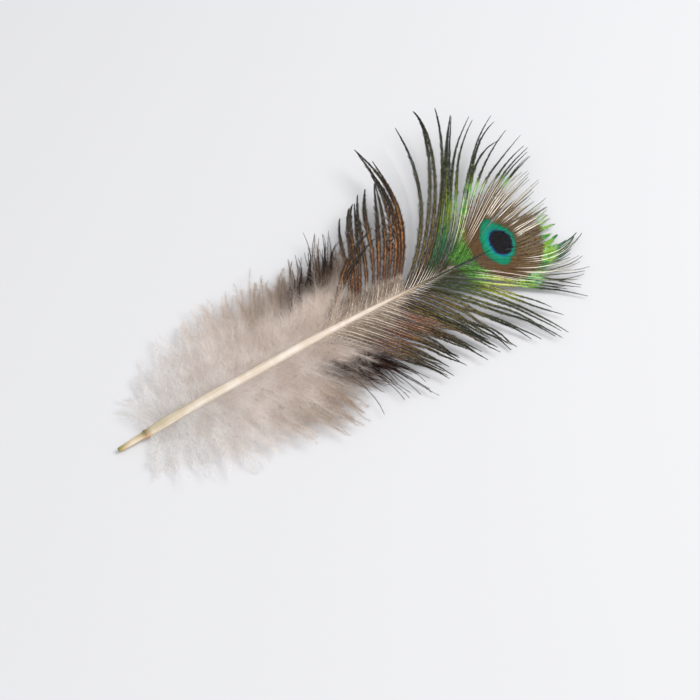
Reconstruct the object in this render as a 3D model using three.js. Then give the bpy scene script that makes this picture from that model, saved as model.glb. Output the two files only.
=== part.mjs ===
// A peacock's mini eye feather, as it lies face up on a flat surface.
//
// The feather is one shaft and the barbs that branch from its two sides. Near the quill the
// barbs are soft down, further on they are long loose strands, and at the tip they close
// into the eye. Each stretch of barbs is one closed solid that reaches the strands' tips.
//
// Millimetres, +Z up, +X from the quill's tip towards the eye, +Y to the feather's left.
// The origin is the middle of the bounding box, on the surface that the feather lies on.

import * as THREE from "three";

// ---------------------------------------------------------------- driving dimensions
const SHAFT_LENGTH = 117.5; // quill tip to the last barb's root
const QUILL_LENGTH = 7.4; // bare quill, up to the knot where the first down grows
const QUILL_MOUTH_RADIUS = 0.32; // the small opening at the quill's tip
const QUILL_MOUTH_DEPTH = 1.8;
const QUILL_MOUTH_TAPER = 0.8; // the opening narrows to this share before it closes
const QUILL_LIP = 0.12; // rounding of the rim round the opening
const KNOT_RADIUS = 1.25;
const KNOT_LENGTH = 1.1;
const KNOT_SHOULDER = 0.3; // the slope up to the knot, and down from it
const SHAFT_END_ROUNDING = 0.05;
const SHAFT_SIDES = 14;
const QUILL_RINGS = 4;
const SHAFT_RINGS = 34;

const GAP = 0.35; // clearance between the shaft and the barbs beside it
const TRACT_GAP = 0.55; // distance along the shaft between two stretches of barbs

const VANE_THICKNESS = 1.2; // at the roots
const VANE_EDGE_THICKNESS = 0.5; // at the tips
const DOWN_EDGE_RISE = 0.9; // the down's rim is this far off the surface
const DOWN_EDGE_THICKNESS = 1.3;
const DOWN_FLAT_SHARE = 0.8; // share of a down barb's length that rests flat
const FRINGE_DEPTH = 0.07; // every other tip is shorter by this share

const ROUNDING_STEPS = 10; // steps in following one curved barb

// ---------------------------------------------------------------- shape of the shaft
// Radius and height of the shaft's middle above the surface. The shaft arches gently.
const SHAFT = [
  { root: 0, radius: 0.6, height: 0.9 },
  { root: 4, radius: 0.8, height: 1.3 },
  { root: 7.4, radius: 0.9, height: 1.6 },
  { root: 10, radius: 1.2, height: 1.85 },
  { root: 20, radius: 1.3, height: 2.7 },
  { root: 40, radius: 1.26, height: 3.4 },
  { root: 56, radius: 1.14, height: 4.1 },
  { root: 72, radius: 0.8, height: 4.1 },
  { root: 87, radius: 0.47, height: 3.7 },
  { root: 101, radius: 0.26, height: 3.15 },
  { root: 110, radius: 0.16, height: 2.65 },
  { root: SHAFT_LENGTH, radius: 0.1, height: 2.2 },
];

// ---------------------------------------------------------------- shape of the barbs
// root: distance along the shaft. length: of the barb. leave and arrive: its angle to the
// shaft in degrees at the root and at the tip. tip: height of the tip above the surface.
// puff: how far the barb swells above a straight line between the two.
const LEFT_BARBS = [
  { root: 8.6, length: 13, leave: 92, arrive: 128, tip: 2.2, puff: 1 },
  { root: 16, length: 23, leave: 72, arrive: 96, tip: 2.4, puff: 1.9 },
  { root: 30, length: 32, leave: 54, arrive: 72, tip: 2.4, puff: 2.5 },
  { root: 46, length: 34, leave: 48, arrive: 64, tip: 2.6, puff: 1.9 },
  { root: 60, length: 36, leave: 44, arrive: 64, tip: 4, puff: 1.6 },
  { root: 74, length: 43, leave: 42, arrive: 72, tip: 6.5, puff: 1.2 },
  { root: 84, length: 52, leave: 40, arrive: 88, tip: 8, puff: 0.6 },
  { root: 91, length: 61, leave: 35, arrive: 76, tip: 8.5, puff: 0.4 },
  { root: 97, length: 59, leave: 40, arrive: 60, tip: 8, puff: 0.4 },
  { root: 104, length: 56, leave: 42, arrive: 40, tip: 6, puff: 0.4 },
  { root: 110, length: 43, leave: 31, arrive: 24, tip: 3, puff: 0.3 },
  { root: 114, length: 29, leave: 19, arrive: 15, tip: 1, puff: 0.2 },
  { root: SHAFT_LENGTH, length: 21, leave: 0, arrive: 0, tip: 0.25, puff: 0.1 },
];

const RIGHT_BARBS = [
  { root: 8.6, length: 15, leave: 92, arrive: 128, tip: 2.2, puff: 1 },
  { root: 16, length: 24, leave: 70, arrive: 94, tip: 2.4, puff: 1.7 },
  { root: 30, length: 31, leave: 54, arrive: 70, tip: 2.4, puff: 2.3 },
  { root: 46, length: 34, leave: 49, arrive: 65, tip: 2.4, puff: 2.1 },
  { root: 60, length: 36, leave: 50, arrive: 68, tip: 2.2, puff: 1.6 },
  { root: 74, length: 38, leave: 48, arrive: 66, tip: 1.8, puff: 1 },
  { root: 84, length: 41, leave: 47, arrive: 68, tip: 1.2, puff: 0.5 },
  { root: 91, length: 45, leave: 46, arrive: 70, tip: 1, puff: 0.4 },
  { root: 97, length: 43, leave: 44, arrive: 60, tip: 0.9, puff: 0.4 },
  { root: 104, length: 38, leave: 39, arrive: 43, tip: 0.9, puff: 0.3 },
  { root: 110, length: 33, leave: 29, arrive: 27, tip: 0.8, puff: 0.3 },
  { root: 114, length: 27, leave: 18, arrive: 18, tip: 0.5, puff: 0.2 },
  { root: SHAFT_LENGTH, length: 21, leave: 0, arrive: 0, tip: 0.25, puff: 0.1 },
];

// Where each stretch of barbs begins and ends along the shaft.
const DOWN_FROM = 8.6;
const STRANDS_FROM = 62;
const EYE_FROM = 104;

// Faces along the shaft and out to the tips, for each kind of stretch.
const DOWN_GRID = { columns: 20, rows: 10 };
const STRANDS_GRID = { columns: 36, rows: 9 };
const EYE_GRID = { columns: 44, rows: 8 };

// ---------------------------------------------------------------- helpers
const radians = THREE.MathUtils.degToRad;
const lerp = THREE.MathUtils.lerp;

/** One field of a list of stations at a distance along the shaft, on a smooth curve. */
function along(stations, field, x) {
  const last = stations.length - 1;
  let i = 0;
  while (i < last - 1 && x > stations[i + 1].root) i += 1;
  const slope = (k) => {
    const before = stations[Math.max(0, k - 1)];
    const after = stations[Math.min(last, k + 1)];
    return (after[field] - before[field]) / (after.root - before.root);
  };
  const a = stations[i];
  const b = stations[i + 1];
  const span = b.root - a.root;
  const t = THREE.MathUtils.clamp((x - a.root) / span, 0, 1);
  const ease = t * t * (3 - 2 * t);
  const leaving = slope(i) * span * t * (1 - t) * (1 - t);
  const arriving = slope(i + 1) * span * t * t * (1 - t);
  return lerp(a[field], b[field], ease) + leaving - arriving;
}

/** Plan position of a point on a barb. side is 1 for left and -1 for right. */
function planPoint(side, root, share) {
  const barbs = side > 0 ? LEFT_BARBS : RIGHT_BARBS;
  const leave = radians(along(barbs, "leave", root));
  const arrive = radians(along(barbs, "arrive", root));
  const step = (along(barbs, "length", root) * share) / ROUNDING_STEPS;
  const beside = along(SHAFT, "radius", root) + GAP;
  const atTheEnd = root >= SHAFT_LENGTH;
  const point = new THREE.Vector2(
    atTheEnd ? root + beside : root,
    atTheEnd ? 0 : side * beside,
  );
  for (let i = 0; i < ROUNDING_STEPS; i += 1) {
    const angle = lerp(leave, arrive, ((i + 0.5) / ROUNDING_STEPS) * share);
    point.x += Math.cos(angle) * step;
    point.y += Math.sin(angle) * step * side;
  }
  return point;
}

/** Height of the middle of a barb, above the surface. */
function barbHeight(side, root, share) {
  const barbs = side > 0 ? LEFT_BARBS : RIGHT_BARBS;
  const straight = lerp(
    along(SHAFT, "height", root),
    along(barbs, "tip", root),
    share,
  );
  return straight + along(barbs, "puff", root) * Math.sin(Math.PI * share);
}

/** Lower and upper height of a firm vane: a thin sheet that follows the barbs. */
function vaneSection(side, root, share) {
  const half = lerp(VANE_THICKNESS, VANE_EDGE_THICKNESS, share) / 2;
  const middle = Math.max(barbHeight(side, root, share), half);
  return [middle - half, middle + half];
}

/** Lower and upper height of the down: a soft pad that lies flat on the surface. */
function downSection(side, root, share) {
  const rim = Math.max(0, share - DOWN_FLAT_SHARE) / (1 - DOWN_FLAT_SHARE);
  const lower = DOWN_EDGE_RISE * rim * rim;
  const edge = lerp(0, DOWN_EDGE_THICKNESS / 2, share);
  return [lower, Math.max(barbHeight(side, root, share) + edge, lower + edge)];
}

// ---------------------------------------------------------------- solids
/** The shaft: a turned profile from the quill's open tip to a hair's breadth, then arched. */
function shaftGeometry() {
  const radius = (x) => along(SHAFT, "radius", x);
  const knotEnd = QUILL_LENGTH + KNOT_LENGTH;
  const outline = [
    [0, QUILL_MOUTH_DEPTH],
    [QUILL_MOUTH_RADIUS * QUILL_MOUTH_TAPER, QUILL_MOUTH_DEPTH * QUILL_MOUTH_TAPER],
    [QUILL_MOUTH_RADIUS, 0],
    [radius(0), QUILL_LIP],
  ];
  const quillEnd = QUILL_LENGTH - KNOT_SHOULDER;
  for (let i = 1; i <= QUILL_RINGS; i += 1) {
    const x = (quillEnd * i) / QUILL_RINGS;
    outline.push([radius(x), x]);
  }
  outline.push([KNOT_RADIUS, QUILL_LENGTH + KNOT_SHOULDER]);
  outline.push([KNOT_RADIUS, knotEnd - KNOT_SHOULDER]);
  for (let i = 0; i <= SHAFT_RINGS; i += 1) {
    const x = lerp(knotEnd, SHAFT_LENGTH, i / SHAFT_RINGS);
    outline.push([radius(x), x]);
  }
  outline.push([0, SHAFT_LENGTH + SHAFT_END_ROUNDING]);

  const profile = outline.map(([r, x]) => new THREE.Vector2(r, x));
  const geometry = new THREE.LatheGeometry(profile, SHAFT_SIDES);
  geometry.rotateZ(-Math.PI / 2); // the lathe's axis becomes +X
  const position = geometry.getAttribute("position");
  for (let i = 0; i < position.count; i += 1) {
    const height = along(SHAFT, "height", position.getX(i));
    position.setZ(i, position.getZ(i) + height);
  }
  return geometry;
}

/**
 * A stretch of barbs as one closed solid: a box of many small faces, bent to the barbs.
 * place(share) gives the side and root of the barb at that share of the way round, so that
 * a stretch can run up one side, round the tip and back down the other.
 */
function barbGeometry({ columns, rows, place, section }) {
  const geometry = new THREE.BoxGeometry(1, 1, 1, columns, rows, 1);
  const position = geometry.getAttribute("position");
  for (let i = 0; i < position.count; i += 1) {
    const round = position.getX(i) + 0.5;
    const out = position.getY(i) + 0.5;
    const isTop = position.getZ(i) > 0;
    const { side, root } = place(round);
    const isTip = Math.round(out * rows) === rows;
    const isShortTip = isTip && Math.round(round * columns) % 2 === 1;
    const share = isShortTip ? 1 - FRINGE_DEPTH : out;
    const plan = planPoint(side, root, share);
    const [lower, upper] = section(side, root, share);
    position.setXYZ(i, plan.x, plan.y, isTop ? upper : lower);
  }
  return geometry;
}

/** Runs up the left side of the feather, or back down the right side. */
function alongSide(side, from, to) {
  return (round) => ({
    side,
    root: side > 0 ? lerp(from, to, round) : lerp(to, from, round),
  });
}

/** Runs up the left side, round the end of the shaft and down the right side. */
function roundTheEnd(from) {
  return (round) => ({
    side: round <= 0.5 ? 1 : -1,
    root: lerp(SHAFT_LENGTH, from, Math.abs(round * 2 - 1)),
  });
}

// ---------------------------------------------------------------- the feather
const PALETTE = {
  shaft: { color: 0xe9dcc0, roughness: 0.45 },
  down: { color: 0xc4b6ab, roughness: 0.95 },
  strands: { color: 0x4f4a26, roughness: 0.55 },
  eye: { color: 0x15806c, roughness: 0.5 },
};

function material(name) {
  return new THREE.MeshStandardMaterial({
    ...PALETTE[name],
    metalness: 0,
    flatShading: true,
  });
}

function piece(name, geometry, finish) {
  const mesh = new THREE.Mesh(geometry, material(finish));
  mesh.name = name;
  return mesh;
}

const SIDES = { left: 1, right: -1 };

const feather = new THREE.Group();
feather.add(piece("shaft", shaftGeometry(), "shaft"));

for (const [word, side] of Object.entries(SIDES)) {
  const down = barbGeometry({
    ...DOWN_GRID,
    place: alongSide(side, DOWN_FROM, STRANDS_FROM - TRACT_GAP),
    section: downSection,
  });
  const strands = barbGeometry({
    ...STRANDS_GRID,
    place: alongSide(side, STRANDS_FROM, EYE_FROM - TRACT_GAP),
    section: vaneSection,
  });
  feather.add(piece(`${word}_down`, down, "down"));
  feather.add(piece(`${word}_strands`, strands, "strands"));
}

const eye = barbGeometry({
  ...EYE_GRID,
  place: roundTheEnd(EYE_FROM),
  section: vaneSection,
});
feather.add(piece("eye", eye, "eye"));

// Centre the feather on the origin, with its lowest point on the surface.
const box = new THREE.Box3().setFromObject(feather);
const middle = box.getCenter(new THREE.Vector3());
feather.position.set(-middle.x, -middle.y, -box.min.z);

export default feather;
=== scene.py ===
"""The looks of a peacock's mini eye feather that lies face up on a pale surface.

Feather sizes are in millimetres, in the feather's own directions: x runs along the shaft from
the quill's tip, y to the feather's left, z up from the surface. The mesh builder turns them into
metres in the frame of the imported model.
"""

import logging
import math
from dataclasses import dataclass
from enum import Enum

import bpy
import numpy as np
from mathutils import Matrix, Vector


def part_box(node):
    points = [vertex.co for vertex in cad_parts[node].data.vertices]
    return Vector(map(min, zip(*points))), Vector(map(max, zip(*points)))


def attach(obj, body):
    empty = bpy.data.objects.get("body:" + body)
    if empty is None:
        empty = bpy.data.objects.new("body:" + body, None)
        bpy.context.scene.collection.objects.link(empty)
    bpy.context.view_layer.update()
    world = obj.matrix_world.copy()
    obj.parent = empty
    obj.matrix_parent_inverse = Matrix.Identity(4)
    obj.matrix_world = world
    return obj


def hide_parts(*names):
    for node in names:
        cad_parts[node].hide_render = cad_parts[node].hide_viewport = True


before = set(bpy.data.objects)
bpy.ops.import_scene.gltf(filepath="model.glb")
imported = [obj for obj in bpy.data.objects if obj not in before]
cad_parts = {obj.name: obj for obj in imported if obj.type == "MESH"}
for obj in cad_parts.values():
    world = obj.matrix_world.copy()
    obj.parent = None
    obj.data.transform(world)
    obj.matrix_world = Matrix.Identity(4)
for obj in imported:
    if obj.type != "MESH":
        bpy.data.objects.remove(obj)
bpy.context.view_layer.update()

logging.basicConfig(level=logging.INFO, format="%(message)s")
LOG = logging.getLogger("feather")

MM = 0.001
BODY = "root"
SEED = 7
UP = np.array([0.0, 0.0, 1.0])
LOWEST = 0.12  # mm: no fibre reaches lower than this above the surface


class Side(Enum):
    """The two sides of the shaft."""

    LEFT = 1
    RIGHT = -1


# ------------------------------------------------------------------------ small mathematics
def smoothstep(low: float, high: float, value: np.ndarray) -> np.ndarray:
    """A smooth rise from 0 to 1.

    Args:
        low: Where it is 0.
        high: Where it is 1. Below low, it makes a fall of the rise.
        value: The numbers to look up.

    Returns:
        Numbers from 0 to 1.
    """
    t = np.clip((value - low) / (high - low), 0, 1)
    return t * t * (3 - 2 * t)


def unit(vectors: np.ndarray) -> np.ndarray:
    """Vectors scaled to length 1.

    Args:
        vectors: Vectors in the last axis.

    Returns:
        The unit vectors.
    """
    length = np.linalg.norm(vectors, axis=-1, keepdims=True)
    return vectors / np.maximum(length, 1e-9)


@dataclass(frozen=True)
class Profile:
    """A number that changes along something, on a smooth curve through a few stations."""

    places: tuple[float, ...]
    values: tuple[float, ...]

    def at(self, where: np.ndarray) -> np.ndarray:
        """The curve's value.

        Args:
            where: Places along the curve.

        Returns:
            One value for each place.
        """
        x, y = np.array(self.places), np.array(self.values)
        slope = np.gradient(y, x)
        where = np.clip(where, x[0], x[-1])
        i = np.clip(np.searchsorted(x, where, side="right") - 1, 0, len(x) - 2)
        span = x[i + 1] - x[i]
        t = (where - x[i]) / span
        leaving = slope[i] * span * t * (1 - t) ** 2
        arriving = slope[i + 1] * span * t * t * (1 - t)
        return y[i] + (y[i + 1] - y[i]) * t * t * (3 - 2 * t) + leaving - arriving


# ------------------------------------------------------------------------ the feather's plan
SHAFT_LENGTH = 117.5
SHAFT_PLACES = (0, 4, 7.4, 10, 20, 40, 56, 72, 87, 101, 110, SHAFT_LENGTH)
SHAFT_RADIUS = Profile(
    SHAFT_PLACES, (0.6, 0.8, 0.9, 1.2, 1.3, 1.26, 1.14, 0.8, 0.47, 0.26, 0.16, 0.1)
)
SHAFT_HEIGHT = Profile(
    SHAFT_PLACES, (0.9, 1.3, 1.6, 1.85, 2.7, 3.4, 4.1, 4.1, 3.7, 3.15, 2.65, 2.2)
)


@dataclass(frozen=True)
class Guide:
    """A listed barb.

    root is its place along the shaft, tip the plan position of its end with y outwards, leave
    and arrive its angle to the shaft there in degrees, rise the height of its tip, and pull how
    far it keeps each of the two directions, as shares of the distance from root to tip.
    """

    root: float
    tip: tuple[float, float]
    leave: float
    arrive: float
    rise: float
    pull: tuple[float, float] = (0.36, 0.36)


LEFT_DOWN = (
    Guide(9, (3.5, 11.5), 100, 130, 1.2),
    Guide(12, (9, 18), 88, 112, 1.4),
    Guide(16, (18, 22.5), 76, 98, 1.8),
    Guide(22, (29, 26.5), 66, 84, 2.6),
    Guide(30, (42, 28.5), 58, 74, 2.6),
    Guide(38, (54.5, 28.5), 52, 66, 2.6),
    Guide(46, (65, 27.5), 48, 64, 2.8),
    Guide(54, (76, 30), 46, 70, 3.6),
    Guide(61.5, (82.5, 29.5), 44, 62, 4.6),
    Guide(66.5, (82, 22), 46, 62, 5.2),
)
RIGHT_DOWN = (
    Guide(9, (-0.5, 11.5), 100, 132, 1.1),
    Guide(12, (6, 18), 88, 114, 1.3),
    Guide(16, (15.5, 22), 74, 96, 1.7),
    Guide(22, (27, 25), 64, 82, 2.4),
    Guide(30, (42, 27), 56, 70, 2.4),
    Guide(38, (53.5, 28), 52, 66, 2.4),
    Guide(43, (58.5, 28.5), 50, 66, 2.4),
    Guide(48, (63, 25), 50, 64, 2.4),
    Guide(53, (68.5, 23), 50, 62, 2.4),
    Guide(58, (74, 24.5), 50, 62, 2.2),
    Guide(62, (79.5, 29), 52, 64, 2.0),
)
RIGHT_STRAYS = (
    Guide(52, (62.3, 28.6), 46, 108, 1.2, (0.4, 0.3)),
    Guide(56, (69.4, 27.4), 52, 96, 1.4, (0.45, 0.2)),
    Guide(57, (70.6, 27.8), 50, 80, 1.4, (0.45, 0.2)),
    Guide(58, (72.0, 26.6), 50, 62, 1.4, (0.45, 0.2)),
    Guide(59, (73.6, 28.4), 51, 88, 1.4, (0.45, 0.2)),
    Guide(60, (76.2, 29.6), 52, 84, 1.4, (0.45, 0.2)),
    Guide(60.5, (76.8, 28.2), 52, 58, 1.4, (0.4, 0.2)),
    Guide(61, (77.7, 31.3), 52, 60, 1.3, (0.4, 0.25)),
)
SPECK = (40.6, -12.9)  # a small dark speck in the right down
LEFT_STRANDS = (
    Guide(69, (86.4, 29.8), 40, 49, 5.8, (0.44, 0.33)),
    Guide(70.5, (90.5, 31.5), 40, 44, 6, (0.29, 0.24)),
    Guide(72, (91.9, 31.9), 47, 40, 6.1, (0.35, 0.19)),
    Guide(73.4, (92.5, 31.9), 52, 60, 6.2, (0.33, 0.33)),
    Guide(75.6, (94.9, 33.8), 51, 53, 6.6, (0.42, 0.32)),
    Guide(77.6, (97.5, 34.4), 52, 50, 6.8, (0.59, 0.29)),
    Guide(79.2, (100.9, 34.5), 52, 59, 7.2, (0.42, 0.38)),
    Guide(80.6, (100.8, 34.4), 51, 71, 7.3, (0.38, 0.41)),
    Guide(81.8, (101.6, 37.4), 49, 84, 7.4, (0.37, 0.39)),
    Guide(82.9, (101.6, 37.3), 44, 96, 7.5, (0.37, 0.31)),
    Guide(83.9, (102.5, 47.2), 44, 88, 8, (0.5, 0.4)),
    Guide(84.9, (102.5, 47.2), 43, 100, 8, (0.4, 0.4)),
    Guide(85.8, (104.5, 41.5), 48, 85, 7.8, (0.52, 0.41)),
    Guide(64, (91.3, 20.6), 42, 17, 8.3, (0.35, 0.45)),
    Guide(65.2, (89.6, 16.9), 50, 14, 8.2, (0.32, 0.43)),
    Guide(87.6, (116.9, 47.7), 35, 82, 8.2, (0.36, 0.37)),
    Guide(89.3, (124.5, 50.0), 29, 110, 8.5, (0.29, 0.13)),
    Guide(90.5, (124.6, 49.7), 31, 100, 8.5, (0.38, 0.17)),
    Guide(92, (130.6, 48.0), 29, 76, 8.4, (0.28, 0.19)),
    Guide(93.1, (133.3, 43.5), 30, 46, 8.2, (0.34, 0.38)),
    Guide(94.1, (133.4, 43.5), 29, 47, 8.2, (0.39, 0.4)),
    Guide(95.1, (132.9, 42.5), 28, 49, 8.1, (0.38, 0.39)),
    Guide(96.1, (137.8, 40.4), 31, 33, 8, (0.44, 0.45)),
    Guide(97.1, (137.5, 38.3), 28, 31, 7.9, (0.45, 0.41)),
    Guide(98.1, (143.4, 37.1), 15, 26, 7.7, (0.26, 0.38)),
    Guide(99, (142.6, 34.7), 28, 16, 7.5, (0.46, 0.29)),
    Guide(99.9, (139.8, 28.0), 24, -13, 7.2, (0.43, 0.27)),
    Guide(100.7, (143.7, 30.3), 28, 22, 7.2, (0.38, 0.42)),
    Guide(101.6, (147.4, 27.1), 31, 20, 6.8, (0.65, 0.6)),
    Guide(102.5, (144.9, 23.2), 30, 13, 6.4, (0.51, 0.38)),
    Guide(102.9, (145.6, 22.2), 29, 14, 6.2, (0.47, 0.38)),
    Guide(103.3, (144.6, 21.0), 27, 13, 6.0, (0.44, 0.38)),
    Guide(103.7, (144.2, 19.4), 25, 12, 5.8, (0.38, 0.36)),
)
RIGHT_STRANDS = (
    Guide(62.5, (83, 32), 52, 66, 2.2),
    Guide(66, (86, 31.5), 54, 68, 2),
    Guide(70, (89.5, 31), 56, 68, 1.8),
    Guide(74, (94, 30.5), 58, 68, 1.7),
    Guide(78, (97.5, 29.5), 60, 68, 1.5),
    Guide(82, (99.5, 27.5), 62, 69, 1.4, (0.34, 0.36)),
    Guide(85, (101.5, 28), 60, 68, 1.35, (0.34, 0.34)),
    Guide(88, (104, 31), 51, 67, 1.3, (0.36, 0.3)),
    Guide(91.5, (108.5, 33), 52, 78, 1.2, (0.42, 0.44)),
    Guide(93.5, (115.5, 38), 50, 78, 1.2, (0.36, 0.41)),
    Guide(96, (121, 33), 42, 64, 1.1, (0.4, 0.44)),
    Guide(98.5, (125.5, 29), 36, 52, 1.1, (0.42, 0.48)),
    Guide(101.2, (129.5, 27), 32, 42, 1.1, (0.42, 0.48)),
    Guide(103.6, (132, 24), 30, 34, 1.1, (0.42, 0.48)),
)
LEFT_FUZZ = (
    Guide(61, (68.5, 9), 46, 60, 4.4),
    Guide(70, (76.8, 8.2), 46, 60, 4.6),
    Guide(79, (84.6, 6.6), 46, 58, 4.6),
    Guide(84.5, (89.2, 5), 44, 54, 4.3),
    Guide(87, (90.2, 3.2), 42, 50, 4.0),
)
RIGHT_FUZZ = (
    Guide(60, (68.5, 11), 52, 66, 3.6),
    Guide(70, (78.5, 9.6), 52, 64, 3.6),
    Guide(79, (84.4, 6), 52, 62, 3.4),
    Guide(84, (87.4, 3.6), 50, 60, 3.4),
    Guide(89, (91, 2.2), 48, 56, 3.3),
)
LEFT_EYE = (
    Guide(104.2, (144.6, 20.0), 26, 12, 5.4, (0.4, 0.36)),
    Guide(105.2, (143.2, 17.2), 27, 8, 5, (0.45, 0.38)),
    Guide(106.2, (143.3, 15.4), 33, 13, 4.7, (0.31, 0.26)),
    Guide(106.8, (143.1, 14.9), 33, 14, 4.6, (0.31, 0.28)),
    Guide(107.1, (142.9, 12.3), 31, 13, 4.2, (0.31, 0.36)),
    Guide(108.6, (142.4, 11.0), 31, 13, 3.8, (0.31, 0.38)),
    Guide(110.2, (140.9, 8.3), 38, 12, 3.3, (0.27, 0.42)),
    Guide(111.4, (140.4, 6.3), 36, 17, 2.9, (0.28, 0.29)),
    Guide(113.4, (139.4, 4.0), 30, 16, 2.4, (0.27, 0.24)),
    Guide(115.4, (138.6, 2.0), 16, 8, 1.9, (0.25, 0.3)),
    Guide(117, (138.4, 0.4), 3, 2, 1.5, (0.3, 0.3)),
)
RIGHT_EYE = (
    Guide(104.2, (127.3, 22.6), 48, 25, 1.1, (0.34, 0.25)),
    Guide(105.2, (133.5, 22.8), 44, 5, 1.2, (0.48, 0.18)),
    Guide(106.4, (139.0, 19.6), 46, 13, 1.3, (0.55, 0.3)),
    Guide(107.4, (140.2, 15.4), 45, -7, 1.5, (0.55, 0.37)),
    Guide(108.6, (140.6, 12.2), 44, -17, 1.6, (0.47, 0.33)),
    Guide(109.8, (142.2, 7.0), 38, -36, 1.6, (0.55, 0.45)),
    Guide(111, (142.4, 6.4), 34, -30, 1.7, (0.55, 0.4)),
    Guide(112, (137.2, 7.1), 29, -30, 1.7, (0.5, 0.21)),
    Guide(113.2, (135.8, 4.4), 24, -12, 1.7, (0.45, 0.22)),
    Guide(114.6, (137.2, 3.0), 18, 2, 1.7, (0.3, 0.29)),
    Guide(116, (137.7, 0.8), 8, 2, 1.6, (0.25, 0.29)),
    Guide(117, (138.0, -0.2), 2, 2, 1.5, (0.3, 0.3)),
)

# Outlines of the eye's rings on the feather's plan, anticlockwise from the far side.
EYE_CENTRE = np.array([120.4, 0.8])
PUPIL_OUTLINE = (
    (117.9, 2.6), (119.9, 4.6), (121.8, 4.4), (123.3, 3.0), (123.6, 0.8), (122.4, -1.6),
    (120.6, -3.5), (119.0, -3.8), (117.6, -2.8), (117.2, -1.3), (117.4, 0.4), (117.4, 1.5),
)
TEAL_OUTLINE = (
    (117.5, 6.4), (119.3, 8.6), (121.4, 8.9), (122.3, 6.4), (123.6, 4.8), (124.5, 3.0),
    (124.5, 0.7), (123.5, -1.4), (121.8, -3.6), (119.4, -5.4), (117.5, -6.6), (116.2, -6.3),
    (114.9, -4.2), (114.4, -0.6), (115.3, 2.6),
)
BROWN_OUTLINE = (
    (114.1, 9.0), (118.0, 13.1), (122.9, 16.6), (127.9, 16.4), (132.3, 14.0), (133.0, 9.5),
    (133.2, 5.5), (133.2, 1.0), (131.8, -2.8), (129.9, -6.0), (127.5, -9.0), (124.6, -11.2),
    (121.0, -12.8), (117.4, -13.0), (113.9, -10.8), (111.4, -7.4), (110.9, -2.5),
    (111.6, 2.2), (112.4, 6.0),
)
GREEN_OUTLINE = (
    (105.0, 7.6), (109.6, 13.9), (115.9, 18.8), (121.2, 20.6), (129.7, 20.2), (135.0, 17.5),
    (137.9, 9.8), (138.4, 3.1), (137.0, -2.4), (135.0, -7.3), (131.6, -11.0),
    (127.0, -14.2), (121.0, -17.2), (115.0, -18.8), (111.3, -17.0), (108.4, -13.7),
    (105.9, -9.6), (104.6, -5.6), (103.8, -2.0), (102.9, 2.4),
)
OUTER_REACH = 1.6  # the ring number grows by one more over this multiple of the last outline


def ring_number(plan: np.ndarray) -> np.ndarray:
    """How far out in the eye a point lies: 1 on the pupil's edge, 2 teal, 3 brown, 4 green.

    Args:
        plan: Plan positions in millimetres.

    Returns:
        The ring number of each position, from 0 at the middle to 5.
    """
    offset = plan - EYE_CENTRE
    distance = np.linalg.norm(offset, axis=-1)
    angle = np.arctan2(offset[..., 1], offset[..., 0])
    edges = [np.zeros_like(distance)]
    for outline in (PUPIL_OUTLINE, TEAL_OUTLINE, BROWN_OUTLINE, GREEN_OUTLINE):
        corner = np.array(outline) - EYE_CENTRE
        turn = np.arctan2(corner[:, 1], corner[:, 0])
        edges.append(
            np.interp(angle, turn, np.linalg.norm(corner, axis=1), period=2 * math.pi)
        )
    edges.append(edges[-1] * OUTER_REACH)
    number = np.zeros_like(distance)
    for inner, outer in zip(edges, edges[1:], strict=False):
        number += np.clip((distance - inner) / (outer - inner), 0, 1)
    return number


# ------------------------------------------------------------------------ combs of barbs
def bezier(handles: np.ndarray, t: np.ndarray) -> np.ndarray:
    """Points on cubic Bezier curves.

    Args:
        handles: Curves by four points by three coordinates.
        t: Curves by steps, from 0 to 1.

    Returns:
        Curves by steps by three coordinates.
    """
    t = t[..., None]
    a, b, c, d = (handles[:, k, None, :] for k in range(4))
    return a * (1 - t) ** 3 + b * 3 * t * (1 - t) ** 2 + c * 3 * t * t * (1 - t) + d * t**3


@dataclass(frozen=True)
class Habit:
    """How the barbs of a comb differ from their guides.

    wave is how far they waver, pile how thick a heap they lie in and spread how far their
    bunches' tips stray, in millimetres; shortest is the shortest barb's share of the full
    length, bunch how many barbs gather to one point, closing how nearly they meet there and
    parting the share of their length where they start to; layer is the height from one barb
    of a bunch to the next; thinning over 1 spaces the first barbs wider than the last.
    """

    wave: float
    pile: float
    shortest: float = 0.9
    bunch: tuple[int, int] = (1, 1)
    closing: float = 0.0
    parting: float = 0.5
    spread: float = 0.0
    layer: float = 0.0
    thinning: float = 1.0


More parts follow.
